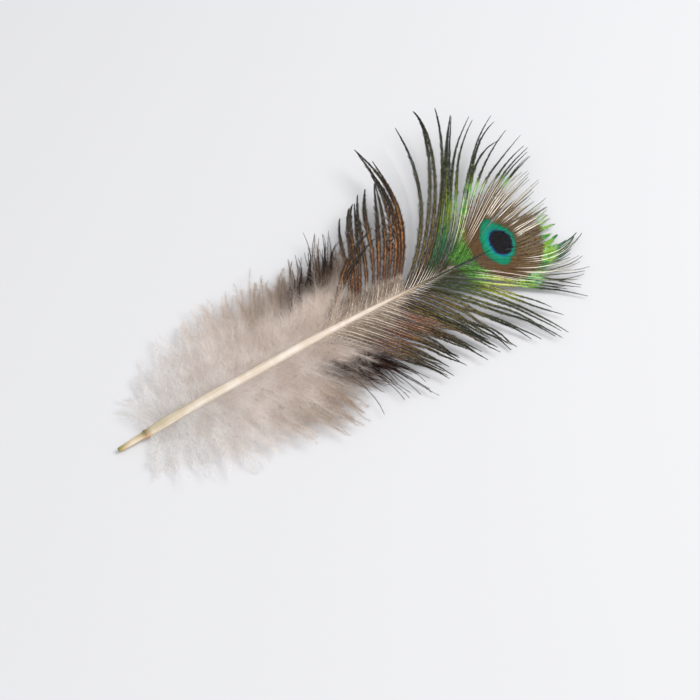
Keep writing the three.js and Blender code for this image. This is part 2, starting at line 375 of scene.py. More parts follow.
class Comb:
    """The barbs of one stretch on one side, as curves in feather millimetres."""

    STEPS = 44  # points on each curve
    ROOT_DEPTH = 0.8  # how far out from the shaft's axis a barb starts, as a share of its radius
    UNEVEN = 0.25  # how far roots stray from even places, as a share of the gap between them
    ROOT_SLOPE = 0.4  # how steeply a barb leaves the shaft, as a share of its slope at the tip
    STRAY_HEIGHT = 0.4  # how far a bunch's tip strays in height, as a share of sideways
    LEAST_CLOSING = 0.6  # how far the loosest bunch closes, as a share of the tightest
    WAVES = ((1.0, 1.3), (0.5, 3.1))  # the size and turns of the waves along a barb
    WAVE_HEIGHT = 0.6  # how far barbs waver in height, as a share of sideways
    HEAP_ARCH, HEAP_TIP = 0.9, 0.2  # how far a heap spreads in height midway, and at its tips
    HEAP_LEVEL = 0.85  # the share of a barb's length from where the arch stays level
    CLEARANCE = 0.3  # mm: how far over LOWEST the middle of a barb stays

    def __init__(
        self,
        side: Side,
        guides: tuple[Guide, ...],
        habit: Habit,
        rng: np.random.Generator,
        barbs: int = 0,
    ) -> None:
        """Lays out the curves.

        Args:
            side: The side of the shaft.
            guides: The listed barbs, from the quill's end on.
            habit: How the barbs differ from them.
            rng: The source of small irregularities.
            barbs: How many barbs are spread evenly between the guides, or 0 for the guides
                themselves.
        """
        self.side = side
        self.share = np.linspace(0, 1, self.STEPS)
        if barbs:
            gap = (guides[-1].root - guides[0].root) / barbs
            place = np.linspace(0, 1, barbs) ** (1 / habit.thinning)
            self.roots = guides[0].root + (guides[-1].root - guides[0].root) * place
            self.roots += rng.uniform(-self.UNEVEN, self.UNEVEN, barbs) * gap
        else:
            self.roots = np.array([g.root for g in guides])
        self.count = len(self.roots)
        self.hue = rng.uniform(0, 1, self.count)
        self.curves = self._curves(guides, habit, rng, spread_evenly=bool(barbs))
        self.length = np.linalg.norm(np.diff(self.curves, axis=1), axis=-1).sum(1)

    def _handles(self, guides: tuple[Guide, ...]) -> np.ndarray:
        """The four Bezier points of each guide.

        Args:
            guides: The listed barbs.

        Returns:
            An array of guides by four points by three coordinates.
        """
        found = []
        for g in guides:
            place = np.array(g.root)
            height = float(SHAFT_HEIGHT.at(place))
            start = np.array([g.root, float(SHAFT_RADIUS.at(place)) * self.ROOT_DEPTH, height])
            end = np.array([g.tip[0], g.tip[1], g.rise])
            far = np.linalg.norm(end[:2] - start[:2])
            leave, arrive = math.radians(g.leave), math.radians(g.arrive)
            drop = (g.rise - height) / 3
            near, late = far * g.pull[0], far * g.pull[1]
            slope = drop * self.ROOT_SLOPE
            first = start + [near * math.cos(leave), near * math.sin(leave), slope]
            last = end - [late * math.cos(arrive), late * math.sin(arrive), drop]
            found.append((start, first, last, end))
        handles = np.array(found)
        handles[:, :, 1] *= self.side.value
        return handles

    def _curves(
        self,
        guides: tuple[Guide, ...],
        habit: Habit,
        rng: np.random.Generator,
        spread_evenly: bool,
    ) -> np.ndarray:
        """The curve of every barb.

        Args:
            guides: The listed barbs.
            habit: How the barbs differ from them.
            rng: The source of irregularities.
            spread_evenly: Whether the barbs lie between the guides, instead of on them.

        Returns:
            An array of barbs by steps by three coordinates.
        """
        handles = self._handles(guides)
        own = self._between(guides, handles, self.roots) if spread_evenly else handles
        t = self.share[None, :] * rng.uniform(habit.shortest, 1, (self.count, 1))
        curves = bezier(own, t)
        if habit.closing:
            self._gather(curves, t, guides, handles, habit, rng)
        self._waver(curves, t, habit, rng)
        curves[..., 2] = np.maximum(curves[..., 2], LOWEST + self.CLEARANCE)
        return curves

    def _gather(
        self,
        curves: np.ndarray,
        t: np.ndarray,
        guides: tuple[Guide, ...],
        handles: np.ndarray,
        habit: Habit,
        rng: np.random.Generator,
    ) -> None:
        """Draws the barbs together into bunches.

        Args:
            curves: The curve of every barb, which it changes.
            t: How far along its full length each step of each barb is, from 0 to 1.
            guides: The listed barbs.
            handles: Their Bezier points.
            habit: How the barbs bunch.
            rng: The source of irregularities.
        """
        sizes = rng.integers(habit.bunch[0], habit.bunch[1] + 1, self.count)
        member = np.repeat(np.arange(self.count), sizes)[: self.count]
        middles = np.array([self.roots[member == m].mean() for m in member])
        shared = self._between(guides, handles, middles)
        stray = rng.normal(0, habit.spread, (self.count, 3))[member]
        shared[:, 2:] += stray[:, None] * np.array([1, 1, self.STRAY_HEIGHT])
        closing = rng.uniform(self.LEAST_CLOSING, 1, self.count)[member][:, None]
        nearing = smoothstep(0, 1, (t - habit.parting) / (1 - habit.parting))
        curves += (bezier(shared, t) - curves) * (habit.closing * closing * nearing)[..., None]
        rank = np.arange(self.count) - np.searchsorted(member, member)
        curves[..., 2] += rank[:, None] * habit.layer * smoothstep(0, 1, t / habit.parting)

    def _waver(
        self, curves: np.ndarray, t: np.ndarray, habit: Habit, rng: np.random.Generator
    ) -> None:
        """Makes the barbs waver, and heaps them up.

        Args:
            curves: The curve of every barb, which it changes.
            t: How far along its full length each step of each barb is, from 0 to 1.
            habit: How far the barbs waver and how thick the heap is.
            rng: The source of irregularities.
        """
        across = unit(np.cross(UP, unit(np.gradient(curves, axis=1))))
        for size, turns in self.WAVES:
            phase = rng.uniform(0, 1, (self.count, 1))
            amount = rng.normal(0, habit.wave * size, (self.count, 1)) * t
            swing = amount * np.sin(2 * math.pi * (t * turns + phase))
            curves += across * swing[..., None]
            curves[..., 2] += np.roll(swing, 3, axis=0) * self.WAVE_HEIGHT
        level = rng.uniform(-1, 1, (self.count, 1)) * habit.pile
        arch = np.sin(math.pi * np.minimum(t, self.HEAP_LEVEL)) * self.HEAP_ARCH
        curves[..., 2] += level * (arch + self.HEAP_TIP * t)

    def _between(
        self, guides: tuple[Guide, ...], handles: np.ndarray, roots: np.ndarray
    ) -> np.ndarray:
        """The Bezier points of barbs that lie between the guides.

        Args:
            guides: The listed barbs.
            handles: Their Bezier points.
            roots: The places along the shaft to find barbs for.

        Returns:
            An array of roots by four points by three coordinates.
        """
        order = np.argsort([g.root for g in guides])
        places = np.array([g.root for g in guides])[order]
        found = np.empty((len(roots), 4, 3))
        for k in range(4):
            for axis in range(3):
                found[:, k, axis] = np.interp(roots, places, handles[order, k, axis])
        found[:, 0, 0] = roots
        found[:, 0, 1] = self.side.value * SHAFT_RADIUS.at(roots) * self.ROOT_DEPTH
        found[:, 0, 2] = SHAFT_HEIGHT.at(roots)
        return found

    def out(self) -> np.ndarray:
        """How far along its barb each step is, in millimetres."""
        return self.share[None, :] * self.length[:, None]

    def spacing(self) -> np.ndarray:
        """The distance from each barb to its neighbours.

        Returns:
            An array of barbs by steps, in millimetres.
        """
        heading = unit(np.gradient(self.curves, axis=1))
        step = np.diff(self.curves, axis=0)
        step = np.concatenate([step, step[-1:]])
        along = (step * heading).sum(-1, keepdims=True) * heading
        apart = np.linalg.norm(step - along, axis=-1)
        return (apart + np.roll(apart, 1, axis=0)) / 2


# ------------------------------------------------------------------------ meshes of fibres
def tube_faces(rings: int, sides: int) -> np.ndarray:
    """The four-sided faces between the rings of a tube.

    Args:
        rings: How many rings it has.
        sides: How many vertices each ring has.

    Returns:
        The four vertices of each face, counted ring by ring.
    """
    ring, step = np.meshgrid(np.arange(rings - 1), np.arange(sides), indexing="ij")
    a, b = (ring * sides + step).ravel(), (ring * sides + (step + 1) % sides).ravel()
    return np.stack([a, b, b + sides, a + sides], 1)


def finished(
    mesh: bpy.types.Mesh,
    fields: dict[str, np.ndarray],
    places: np.ndarray,
    material: bpy.types.Material,
) -> bpy.types.Object:
    """Gives a mesh its fields, its map and its finish.

    Args:
        mesh: The mesh.
        fields: What its vertices carry: one number for each, by name.
        places: The place of each vertex on the map.
        material: The finish of all its faces.

    Returns:
        The object, linked to the scene.
    """
    mesh.update()
    for name, values in fields.items():
        layer = mesh.attributes.new(name, "FLOAT", "POINT")
        layer.data.foreach_set("value", values.astype(np.float32))
    corners = np.empty(len(mesh.loops), dtype=np.int32)
    mesh.loops.foreach_get("vertex_index", corners)
    uv = mesh.uv_layers.new(name="OFBake")
    uv.uv.foreach_set("vector", places[corners].astype(np.float32).ravel())
    mesh.materials.append(material)
    made = bpy.data.objects.new(mesh.name, mesh)
    bpy.context.scene.collection.objects.link(made)
    LOG.info("%s: %d faces", mesh.name, len(mesh.polygons))
    return made


class FibreMesh:
    """Collects thousands of fine fibres as one mesh.

    Each vertex carries numbers that its finish reads: share along its barb, out from the barb's
    rib to the fibre's tip, hue of its barb, glint of its fibre, root place, ring in the eye,
    coat, which is how far it is out of the pale downy part, accent, which is how far it takes
    its second colour, and its plan position. The map lays each barb out in a strip of its own,
    with its rib and its two rows of fibres side by side.
    """

    FIELDS = ("share", "out", "hue", "glint", "root", "ring", "coat", "accent", "x", "y")
    RIB_STRIP, LEFT_STRIP, RIGHT_STRIP = (0.03, 0.17), (0.24, 0.58), (0.64, 0.98)
    MAP_MARGIN = 0.01

    def __init__(self, name: str, barbs: int) -> None:
        """Starts an empty mesh.

        Args:
            name: The piece's name.
            barbs: How many strips its map needs.
        """
        self.name = name
        self.barbs = barbs
        self.points: list[np.ndarray] = []
        self.faces: list[np.ndarray] = []
        self.maps: list[np.ndarray] = []
        self.fields: dict[str, list[np.ndarray]] = {f: [] for f in self.FIELDS}
        self.count = 0

    def add(
        self,
        points: np.ndarray,
        faces: np.ndarray,
        across: np.ndarray,
        barb: int,
        fields: dict[str, float | np.ndarray],
    ) -> None:
        """Adds vertices and the triangles between them.

        Args:
            points: Vertices in feather millimetres.
            faces: Triangles, counted from the first of these vertices.
            across: Each vertex's place across its barb's strip of the map, from 0 to 1.
            barb: The number of its strip.
            fields: A number, or one number a vertex, for each of FIELDS but x and y.
        """
        points = points.copy()
        points[:, 2] = np.maximum(points[:, 2], LOWEST)
        self.points.append(points)
        self.faces.append(faces + self.count)
        self.count += len(points)
        along = np.clip(np.broadcast_to(fields["share"], len(points)), 0, 1)
        up = self.MAP_MARGIN + (1 - 2 * self.MAP_MARGIN) * along
        self.maps.append(np.stack([(barb + across) / self.barbs, up], 1))
        values = fields | {"x": points[:, 0], "y": points[:, 1]}
        for key in self.FIELDS:
            own = np.broadcast_to(values[key], len(points)).astype(np.float32)
            self.fields[key].append(own)

    def build(self, origin: np.ndarray, material: bpy.types.Material) -> bpy.types.Object:
        """Makes the Blender object.

        Args:
            origin: Where the quill's tip is, in metres.
            material: The finish of all its faces.

        Returns:
            The object, linked to the scene.
        """
        points = np.concatenate(self.points) * MM + origin
        faces = np.concatenate(self.faces)
        mesh = bpy.data.meshes.new(self.name)
        mesh.vertices.add(len(points))
        mesh.vertices.foreach_set("co", points.astype(np.float32).ravel())
        mesh.loops.add(faces.size)
        mesh.loops.foreach_set("vertex_index", faces.astype(np.int32).ravel())
        mesh.polygons.add(len(faces))
        mesh.polygons.foreach_set("loop_start", np.arange(0, faces.size, 3, dtype=np.int32))
        fields = {key: np.concatenate(values) for key, values in self.fields.items()}
        return finished(mesh, fields, np.concatenate(self.maps), material)


@dataclass(frozen=True)
class Dress:
    """What changes along the barbs of a comb: each is an array of barbs by steps.

    coat is how far a barb is out of its pale downy part. accent is how far its fibres take
    their second colour, and rib how far its rib does. stretch multiplies the fibres' lengths.
    """

    coat: np.ndarray
    accent: np.ndarray
    rib: np.ndarray
    stretch: np.ndarray


@dataclass(frozen=True)
class Rib:
    """The rib of each barb: a thin tapered rod."""

    radius: Profile  # millimetres over the share of the barb's length
    sides: int = 4
    every: int = 1  # a ring at every so many steps of the curve
    glint: float = 0.2
    swell: float = 0.0  # how much thicker a rib is where it has its second colour

    def add_to(self, mesh: FibreMesh, comb: Comb, dress: Dress, strip: int = 0) -> None:
        """Adds the ribs of a comb.

        Args:
            mesh: The mesh that takes them.
            comb: The barbs.
            dress: What changes along them.
            strip: The first of their strips of the map.
        """
        pick = np.unique(np.append(np.arange(0, comb.STEPS, self.every), comb.STEPS - 1))
        turn = np.arange(self.sides) * 2 * math.pi / self.sides + math.pi / 4
        quads = tube_faces(len(pick), self.sides)
        faces = np.concatenate([quads[:, [0, 1, 2]], quads[:, [0, 2, 3]]])
        low, high = FibreMesh.RIB_STRIP
        around = np.tile(low + (high - low) * np.abs(np.sin(turn / 2)), len(pick))
        share = comb.share[pick]
        radius = self.radius.at(share)
        for number, curve in enumerate(comb.curves):
            centre = curve[pick]
            heading = unit(np.gradient(centre, axis=0))
            across = unit(np.cross(UP, heading))
            over = np.cross(heading, across)
            ring = across[:, None] * np.cos(turn)[None, :, None]
            ring = ring + over[:, None] * np.sin(turn)[None, :, None]
            thick = radius * (1 + self.swell * dress.rib[number, pick])
            points = (centre[:, None] + ring * thick[:, None, None]).reshape(-1, 3)
            fields = {
                "share": np.repeat(share, self.sides),
                "out": 0.0,
                "hue": comb.hue[number],
                "glint": self.glint,
                "root": comb.roots[number],
                "ring": np.repeat(ring_number(centre[:, :2]), self.sides),
                "coat": np.repeat(dress.coat[number, pick], self.sides),
                "accent": np.repeat(dress.rib[number, pick], self.sides),
            }
            mesh.add(points, faces, around, number + strip, fields)


@dataclass(frozen=True)
class Fibres:
    """The rows of fine side fibres on both sides of a barb.

    Lengths are in millimetres and angles in degrees to the barb. roof is how far the rows slope
    down from the rib and stray how far their directions scatter, in radians; curl is how far
    their ends bend towards the barb's tip; scatter is how far the lengths differ, and rough how
    far neighbours differ together, so that the rows look nibbled; start and stop are shares of
    the barb's length; plain fibres are one triangle, the others three.
    """

    spacing: float
    width: float
    length: Profile
    angle: float
    roof: float = 0.25
    stray: float = 0.06
    curl: float = 0.2
    scatter: float = 0.12
    rough: float = 0.15
    patch: float = 0.7  # millimetres of barb that differ together
    sway: float = 6.0  # degrees by which the angles of a patch differ
    start: float = 0.01
    stop: float = 0.995
    plain: bool = False
    ragged: float = 0.3  # millimetres by which the eye's rings shift from barb to barb

    SHORTEST = 0.05  # mm
    TIP_LENGTH = 0.15  # mm: how far fibres may reach at the very tip of a barb
    TIP_SLOPE = 1.2  # how much further they may reach for each millimetre before it
    LEAST_PATCHES = 3  # along a barb, however short
    TAPER = 0.8  # a blade's width at its middle, as a share of its width at the rib
    ADVANCE = 0.7  # how far a fibre's tip is further along the barb, as a share of its length
    RING_PLACE = 0.45  # the eye's rings are read this far out from the rib to each vertex

    def add_to(
        self,
        mesh: FibreMesh,
        comb: Comb,
        dress: Dress,
        rng: np.random.Generator,
        strip: int = 0,
        until: np.ndarray | None = None,
    ) -> None:
        """Adds the fibres of a comb.

        Args:
            mesh: The mesh that takes them.
            comb: The barbs.
            dress: What changes along them.
            rng: The source of irregularities.
            strip: The first of their strips of the map.
            until: For each barb, the share of its length where the fibres stop, if not stop.
        """
        for number, curve in enumerate(comb.curves):
            whole = comb.length[number]
            stop = self.stop if until is None else float(until[number])
            count = int(whole * (stop - self.start) / self.spacing)
            if count < 2:
                continue
            shift = rng.normal(0, self.ragged)
            for hand in (1, -1):
                spread = (np.arange(count) + rng.uniform(0.1, 0.9, count)) / count
                where = self.start + (stop - self.start) * spread
                self._add_row(mesh, comb, number, hand, rng, where, dress, shift, strip)

    def _add_row(
        self,
        mesh: FibreMesh,
        comb: Comb,
        number: int,
        hand: int,
        rng: np.random.Generator,
        where: np.ndarray,
        dress: Dress,
        shift: float,
        strip: int,
    ) -> None:
        """Adds one row of fibres.

        Args:
            mesh: The mesh that takes them.
            comb: The barbs.
            number: The barb's number.
            hand: 1 for its left row and -1 for its right.
            rng: The source of irregularities.
            where: The fibres' places along the barb, as shares.
            dress: What changes along the barb.
            shift: How far the eye's rings are shifted, in millimetres.
            strip: The first strip of the map.
        """
        n = len(where)
        whole = comb.length[number]
        curve = comb.curves[number]
        heading = unit(np.gradient(curve, axis=0))
        base = np.stack([np.interp(where, comb.share, curve[:, a]) for a in range(3)], 1)
        ahead = unit(np.stack([np.interp(where, comb.share, heading[:, a]) for a in range(3)], 1))
        patches = max(self.LEAST_PATCHES, int(whole / self.patch))
        knots = np.linspace(0, 1, patches)
        rough = np.interp(where, knots, rng.normal(1, self.rough, patches))
        sway = np.interp(where, knots, rng.normal(0, self.sway, patches))
        length = self.length.at(where) * rng.normal(1, self.scatter, n) * rough
        length *= np.interp(where, comb.share, dress.stretch[number])
        longest = (1 - where) * whole * self.TIP_SLOPE + self.TIP_LENGTH
        length = np.clip(length, self.SHORTEST, longest)

        across = unit(np.cross(UP, ahead)) * hand
        over = unit(np.cross(ahead, across)) * hand
        tilt = rng.normal(0, self.stray, n) - self.roof
        angle = np.radians(self.angle + sway) + rng.normal(0, self.stray * 0.5, n)
        side = across * np.cos(tilt)[:, None] + over * np.sin(tilt)[:, None]
        way = unit(ahead * np.cos(angle)[:, None] + side * np.sin(angle)[:, None])
        flat = unit(np.cross(way, over + side * rng.normal(0, self.stray, (n, 1))))
        size = length[:, None]
        middle = base + way * size * 0.5
        bend = unit(way + ahead * self.curl + rng.normal(0, self.stray * 0.6, (n, 3)))
        tip = middle + bend * size * 0.5
        half = flat * self.width / 2
        rows, outs, order = [base - half, base + half], [0.0, 0.0], [(0, 1, 2)]
        if not self.plain:
            rows += [middle - half * self.TAPER, middle + half * self.TAPER]
            outs += [0.5, 0.5]
            order = [(0, 1, 3), (0, 3, 2), (2, 3, 4)]
        rows.append(tip)
        outs.append(1.0)
        each = len(rows)
        points = np.stack(rows, 1)
        first = np.arange(n)[:, None] * each
        faces = np.concatenate([first + np.array(t if hand > 0 else t[::-1]) for t in order])
        out = np.tile(outs, n)
        along = np.repeat(where, each) + out * np.repeat(length / whole, each) * self.ADVANCE
        low, high = FibreMesh.LEFT_STRIP if hand > 0 else FibreMesh.RIGHT_STRIP
        plan = points[..., :2] * self.RING_PLACE + base[:, None, :2] * (1 - self.RING_PLACE)
        plan += shift * ahead[:, None, :2]
        fields = {
            "share": along,
            "out": out,
            "hue": comb.hue[number],
            "glint": np.repeat(rng.uniform(0, 1, n), each),
            "root": comb.roots[number],
            "ring": ring_number(plan).ravel(),
            "coat": np.interp(along, comb.share, dress.coat[number]),
            "accent": np.interp(along, comb.share, dress.accent[number]),
        }
        mesh.add(points.reshape(-1, 3), faces, low + (high - low) * out, number + strip, fields)


# ------------------------------------------------------------------------ finishes
Socket = bpy.types.NodeSocket
Value = float | str | Socket  # a number, an sRGB hex colour, or a socket to link from
Stops = tuple[tuple[float, str], ...]  # places from 0 to 1, and the sRGB hex colour at each


def linear(colour: str) -> tuple[float, float, float, float]:
    """An sRGB hex colour as Blender's linear numbers.

    Args:
        colour: The colour, such as "#8a7b4f".

    Returns:
        Red, green, blue and alpha.
    """
    channels = [int(colour[i : i + 2], 16) / 255 for i in (1, 3, 5)]
    red, green, blue = (
        c / 12.92 if c <= 0.04045 else ((c + 0.055) / 1.055) ** 2.4 for c in channels
    )
    return (red, green, blue, 1.0)


class Kind(Enum):
    """The kinds of node that the finishes are made of.

    Each holds its type, its inputs in the order in which they are given, its output, and its
    settings.
    """

    FIELD = ("ShaderNodeAttribute", (), "Fac", {})
    PLACE = ("ShaderNodeCombineXYZ", ("X", "Y"), "Vector", {})
    NOISE = ("ShaderNodeTexNoise", ("Vector", "Scale", "Detail"), "Fac", {})
    ADD = ("ShaderNodeMath", (0, 1), "Value", {"operation": "ADD"})
    SUBTRACT = ("ShaderNodeMath", (0, 1), "Value", {"operation": "SUBTRACT"})
    MULTIPLY = ("ShaderNodeMath", (0, 1), "Value", {"operation": "MULTIPLY"})
    DIVIDE = ("ShaderNodeMath", (0, 1), "Value", {"operation": "DIVIDE"})
    ANGLE = ("ShaderNodeMath", (0, 1), "Value", {"operation": "ARCTAN2"})
    # A smooth rise from 0 to a limit, or a fall where the second place is below the first.
    RISE = (
        "ShaderNodeMapRange",
        ("Value", "From Min", "From Max", "To Max"),
        "Result",
        {"interpolation_type": "SMOOTHSTEP"},
    )
    RAMP = ("ShaderNodeValToRGB", ("Fac",), "Color", {})
    MIX = ("ShaderNodeMix", (0, 6, 7), 2, {"data_type": "RGBA"})
    TINT = ("ShaderNodeMix", (0, 6, 7), 2, {"data_type": "RGBA", "blend_type": "MULTIPLY"})
    RELIEF = ("ShaderNodeBump", ("Height", "Strength", "Distance"), "Normal", {})
    SURFACE = ("ShaderNodeBsdfPrincipled", ("Base Color",), "BSDF", {})
    THROUGH = ("ShaderNodeBsdfTranslucent", ("Color",), "BSDF", {})
    BLEND = ("ShaderNodeMixShader", ("Fac", 1, 2), "Shader", {})
    END = ("ShaderNodeOutputMaterial", ("Surface",), "", {})

    def __init__(
        self,
        type_name: str,
        inputs: tuple[int | str, ...],
        output: int | str,
        settings: dict[str, str],
    ) -> None:
        """Names the parts of a kind.

        Args:
            type_name: The node's type.
            inputs: The names or numbers of its inputs, in the order in which they are given.
            output: The name or number of the output that is used.
            settings: The node's own properties.
        """
        self.type_name = type_name
        self.inputs = inputs
        self.output = output
        self.settings = settings


def add_node(
    tree: bpy.types.NodeTree,
    kind: Kind,
    *values: Value,
    named: dict[str, Value] | None = None,
    stops: Stops = (),
    **settings: str,
) -> bpy.types.Node:
    """Adds a node with its settings and links.

    Args:
        tree: The node tree.
        kind: The kind of node.
        *values: What the kind's inputs take, in its order.
        named: What other inputs take, by their names.
        stops: The colours of a ramp.
        **settings: Further properties of the node.

    Returns:
        The node.
    """
    made = tree.nodes.new(kind.type_name)
    for name, setting in (kind.settings | settings).items():
        setattr(made, name, setting)
    for key, value in (dict(zip(kind.inputs, values, strict=False)) | (named or {})).items():
        if isinstance(value, Socket):
            tree.links.new(value, made.inputs[key])
        else:
            made.inputs[key].default_value = linear(value) if isinstance(value, str) else value
    if stops:
        elements = made.color_ramp.elements
        while len(elements) < len(stops):
            elements.new(1.0)
        for element, (place, colour) in zip(elements, stops, strict=True):
            element.position = place
            element.color = linear(colour)
    return made


class Finish:
    """A material made of nodes."""

    def __init__(self, name: str) -> None:
        """Starts an empty material.

        Args:
            name: The material's name.
        """
        self.material = bpy.data.materials.new(name)
        self.material.use_nodes = True
        self.tree = self.material.node_tree
        self.tree.nodes.clear()

    def add(self, kind: Kind, *values: Value, **more: dict | Stops | str) -> Socket:
        """Adds a node as add_node does, and returns its output."""
        return add_node(self.tree, kind, *values, **more).outputs[kind.output]

    def finish(self, shader: Socket) -> bpy.types.Material:
        """Links the shader to the material's end and returns the material."""
        add_node(self.tree, Kind.END, shader)
        return self.material


@dataclass(frozen=True)
class ShaftKeratin:
    """Feather shaft: solid keratin, grown. It gives the eye a dense ivory rod with a satin
    gloss, horn-clear at the quill and dark where it thins out under the eye."""

    roughness: float = 0.48
    ior: float = 1.54
    specular: float = 0.2
    line_depth: float = 0.00005  # metres: the relief of the fine lines along it
    line_strength: float = 0.4
    lined: float = 0.35  # how far the lines show, and how far the blotches do
    blotched: float = 0.25
    shade: float = 0.8  # how far the shaded side shows

    # Real lines are finer and wouldn't show: these are 9 mm long and, at 20 to the turn, 0.4 mm
    # apart where the shaft is thickest. The blotches are 3 mm long.
    LINES_ALONG, LINES_ROUND, LINE_SCALE = 0.05, 9.0, 2.2
    BLOTCHES_ROUND, BLOTCH_SCALE = 3.0, 0.35

    # Over the share of the shaft's length: its lit top, and its shaded side.
    BODY = (
        (0.0, "#9a9c58"), (0.01, "#d6b48c"), (0.022, "#e6d6c4"), (0.05, "#e8dac8"),
        (0.06, "#dcc6aa"), (0.066, "#cba27c"), (0.074, "#d6b595"), (0.082, "#e0d5c2"),
        (0.2, "#e1d8cd"), (0.5, "#dfd4ca"), (0.66, "#dfd3c8"), (0.71, "#d3c5b5"),
        (0.75, "#bba893"), (0.785, "#97836b"), (0.815, "#5a4c37"), (0.85, "#1f3020"),
        (1.0, "#081417"),
    )
    SIDE = (
        (0.0, "#66783a"), (0.03, "#c6b898"), (0.055, "#aca078"), (0.066, "#545c38"),
        (0.08, "#aca286"), (0.25, "#c9beae"), (0.5, "#d3c8bc"), (0.7, "#cabaa9"),
        (0.8, "#3a3520"), (1.0, "#081316"),
    )

    def material(self) -> bpy.types.Material:
        """Builds the material.

        Returns:
            The material.
        """
        f = Finish("shaft keratin")
        along, around = (f.add(Kind.FIELD, attribute_name=key) for key in ("along", "around"))
        x = f.add(Kind.MULTIPLY, along, self.LINES_ALONG)
        y = f.add(Kind.MULTIPLY, around, self.LINES_ROUND)
        lines = f.add(Kind.NOISE, f.add(Kind.PLACE, x, y), self.LINE_SCALE, 4.0)
        y = f.add(Kind.MULTIPLY, around, self.BLOTCHES_ROUND)
        blotch = f.add(Kind.NOISE, f.add(Kind.PLACE, along, y), self.BLOTCH_SCALE, 3.0)
        share = f.add(Kind.DIVIDE, along, SHAFT_LENGTH)
        body = f.add(Kind.RAMP, share, stops=self.BODY)
        side = f.add(Kind.RAMP, share, stops=self.SIDE)
        # The shaded side is widest by the quill and narrows along the shaft.
        flank = f.add(Kind.SUBTRACT, around, f.add(Kind.RISE, share, 0.45, 0.05, 0.1))
        edges = f.add(Kind.RISE, around, 0.02, 0.08), f.add(Kind.RISE, flank, 0.36, 0.17)
        shade = f.add(Kind.MULTIPLY, f.add(Kind.MULTIPLY, *edges), self.shade)
        colour = f.add(Kind.MIX, shade, body, side)
        dark = f.add(Kind.RISE, lines, 0.62, 0.3, self.lined)
        colour = f.add(Kind.TINT, dark, colour, "#c8b795")
        dark = f.add(Kind.RISE, blotch, 0.62, 0.4, self.blotched)
        colour = f.add(Kind.TINT, dark, colour, "#d8c9a8")
        gloss = {
            "Roughness": self.roughness,
            "IOR": self.ior,
            "Specular IOR Level": self.specular,
            "Normal": f.add(Kind.RELIEF, lines, self.line_strength, self.line_depth),
        }
        return f.finish(f.add(Kind.SURFACE, colour, named=gloss))


@dataclass(frozen=True)
class DownFinish:
    """Down: limp keratin barbs with hair-fine fibres, grown. It gives the eye a matt, misty
    pile that light passes through, nearly white by the quill and browner towards the tips."""

    roughness: float = 0.85
    specular: float = 0.2
    through: float = 0.6  # share of the light that passes into the pile
    length: float = 90.0  # mm along the shaft over which the colours change
    cloud: float = 6.25  # mm across a soft blotch
    clouded: float = 0.25  # how far the blotches show
    glinting: float = 0.7  # how far the fibres differ in brightness

    # Over that length: the pale inner down, and the taupe of the outer down.
    PALE = ((0.0, "#fdfdfd"), (0.2, "#fbfaf9"), (0.45, "#faf5f1"), (0.8, "#f5ece4"), (1.0, "#e4d6c9"))
    TAUPE = ((0.0, "#f1eeeb"), (0.3, "#e0d6cd"), (0.55, "#c9b8a7"), (0.8, "#ab9785"), (1.0, "#8f7b6b"))
    TUFTS = ((0.0, "#21140f"), (0.5, "#422a1f"), (1.0, "#614434"))  # from barb to barb

    def material(self) -> bpy.types.Material:
        """Builds the material.

        Returns:
            The material.
        """
        f = Finish("down")
        hue, x, y, coat, accent, glint = (
            f.add(Kind.FIELD, attribute_name=key)
            for key in ("hue", "x", "y", "coat", "accent", "glint")
        )
        place = f.add(Kind.DIVIDE, x, self.length)
        pale, taupe = (f.add(Kind.RAMP, place, stops=stops) for stops in (self.PALE, self.TAUPE))
        colour = f.add(Kind.MIX, coat, pale, taupe)
        cloud = f.add(Kind.NOISE, f.add(Kind.PLACE, x, y), 1 / self.cloud, 3.0)
        cloud = f.add(Kind.RISE, cloud, 0.62, 0.4, self.clouded)
        colour = f.add(Kind.TINT, cloud, colour, "#dccfc4")
        colour = f.add(Kind.MIX, accent, colour, f.add(Kind.RAMP, hue, stops=self.TUFTS))
        light = f.add(Kind.MIX, glint, "#f3efec", "#ffffff")
        colour = f.add(Kind.TINT, self.glinting, colour, light)
        matt = {"Roughness": self.roughness, "Specular IOR Level": self.specular}
        body = f.add(Kind.SURFACE, colour, named=matt)
        lit = f.add(Kind.THROUGH, colour)
        return f.finish(f.add(Kind.BLEND, self.through, body, lit))


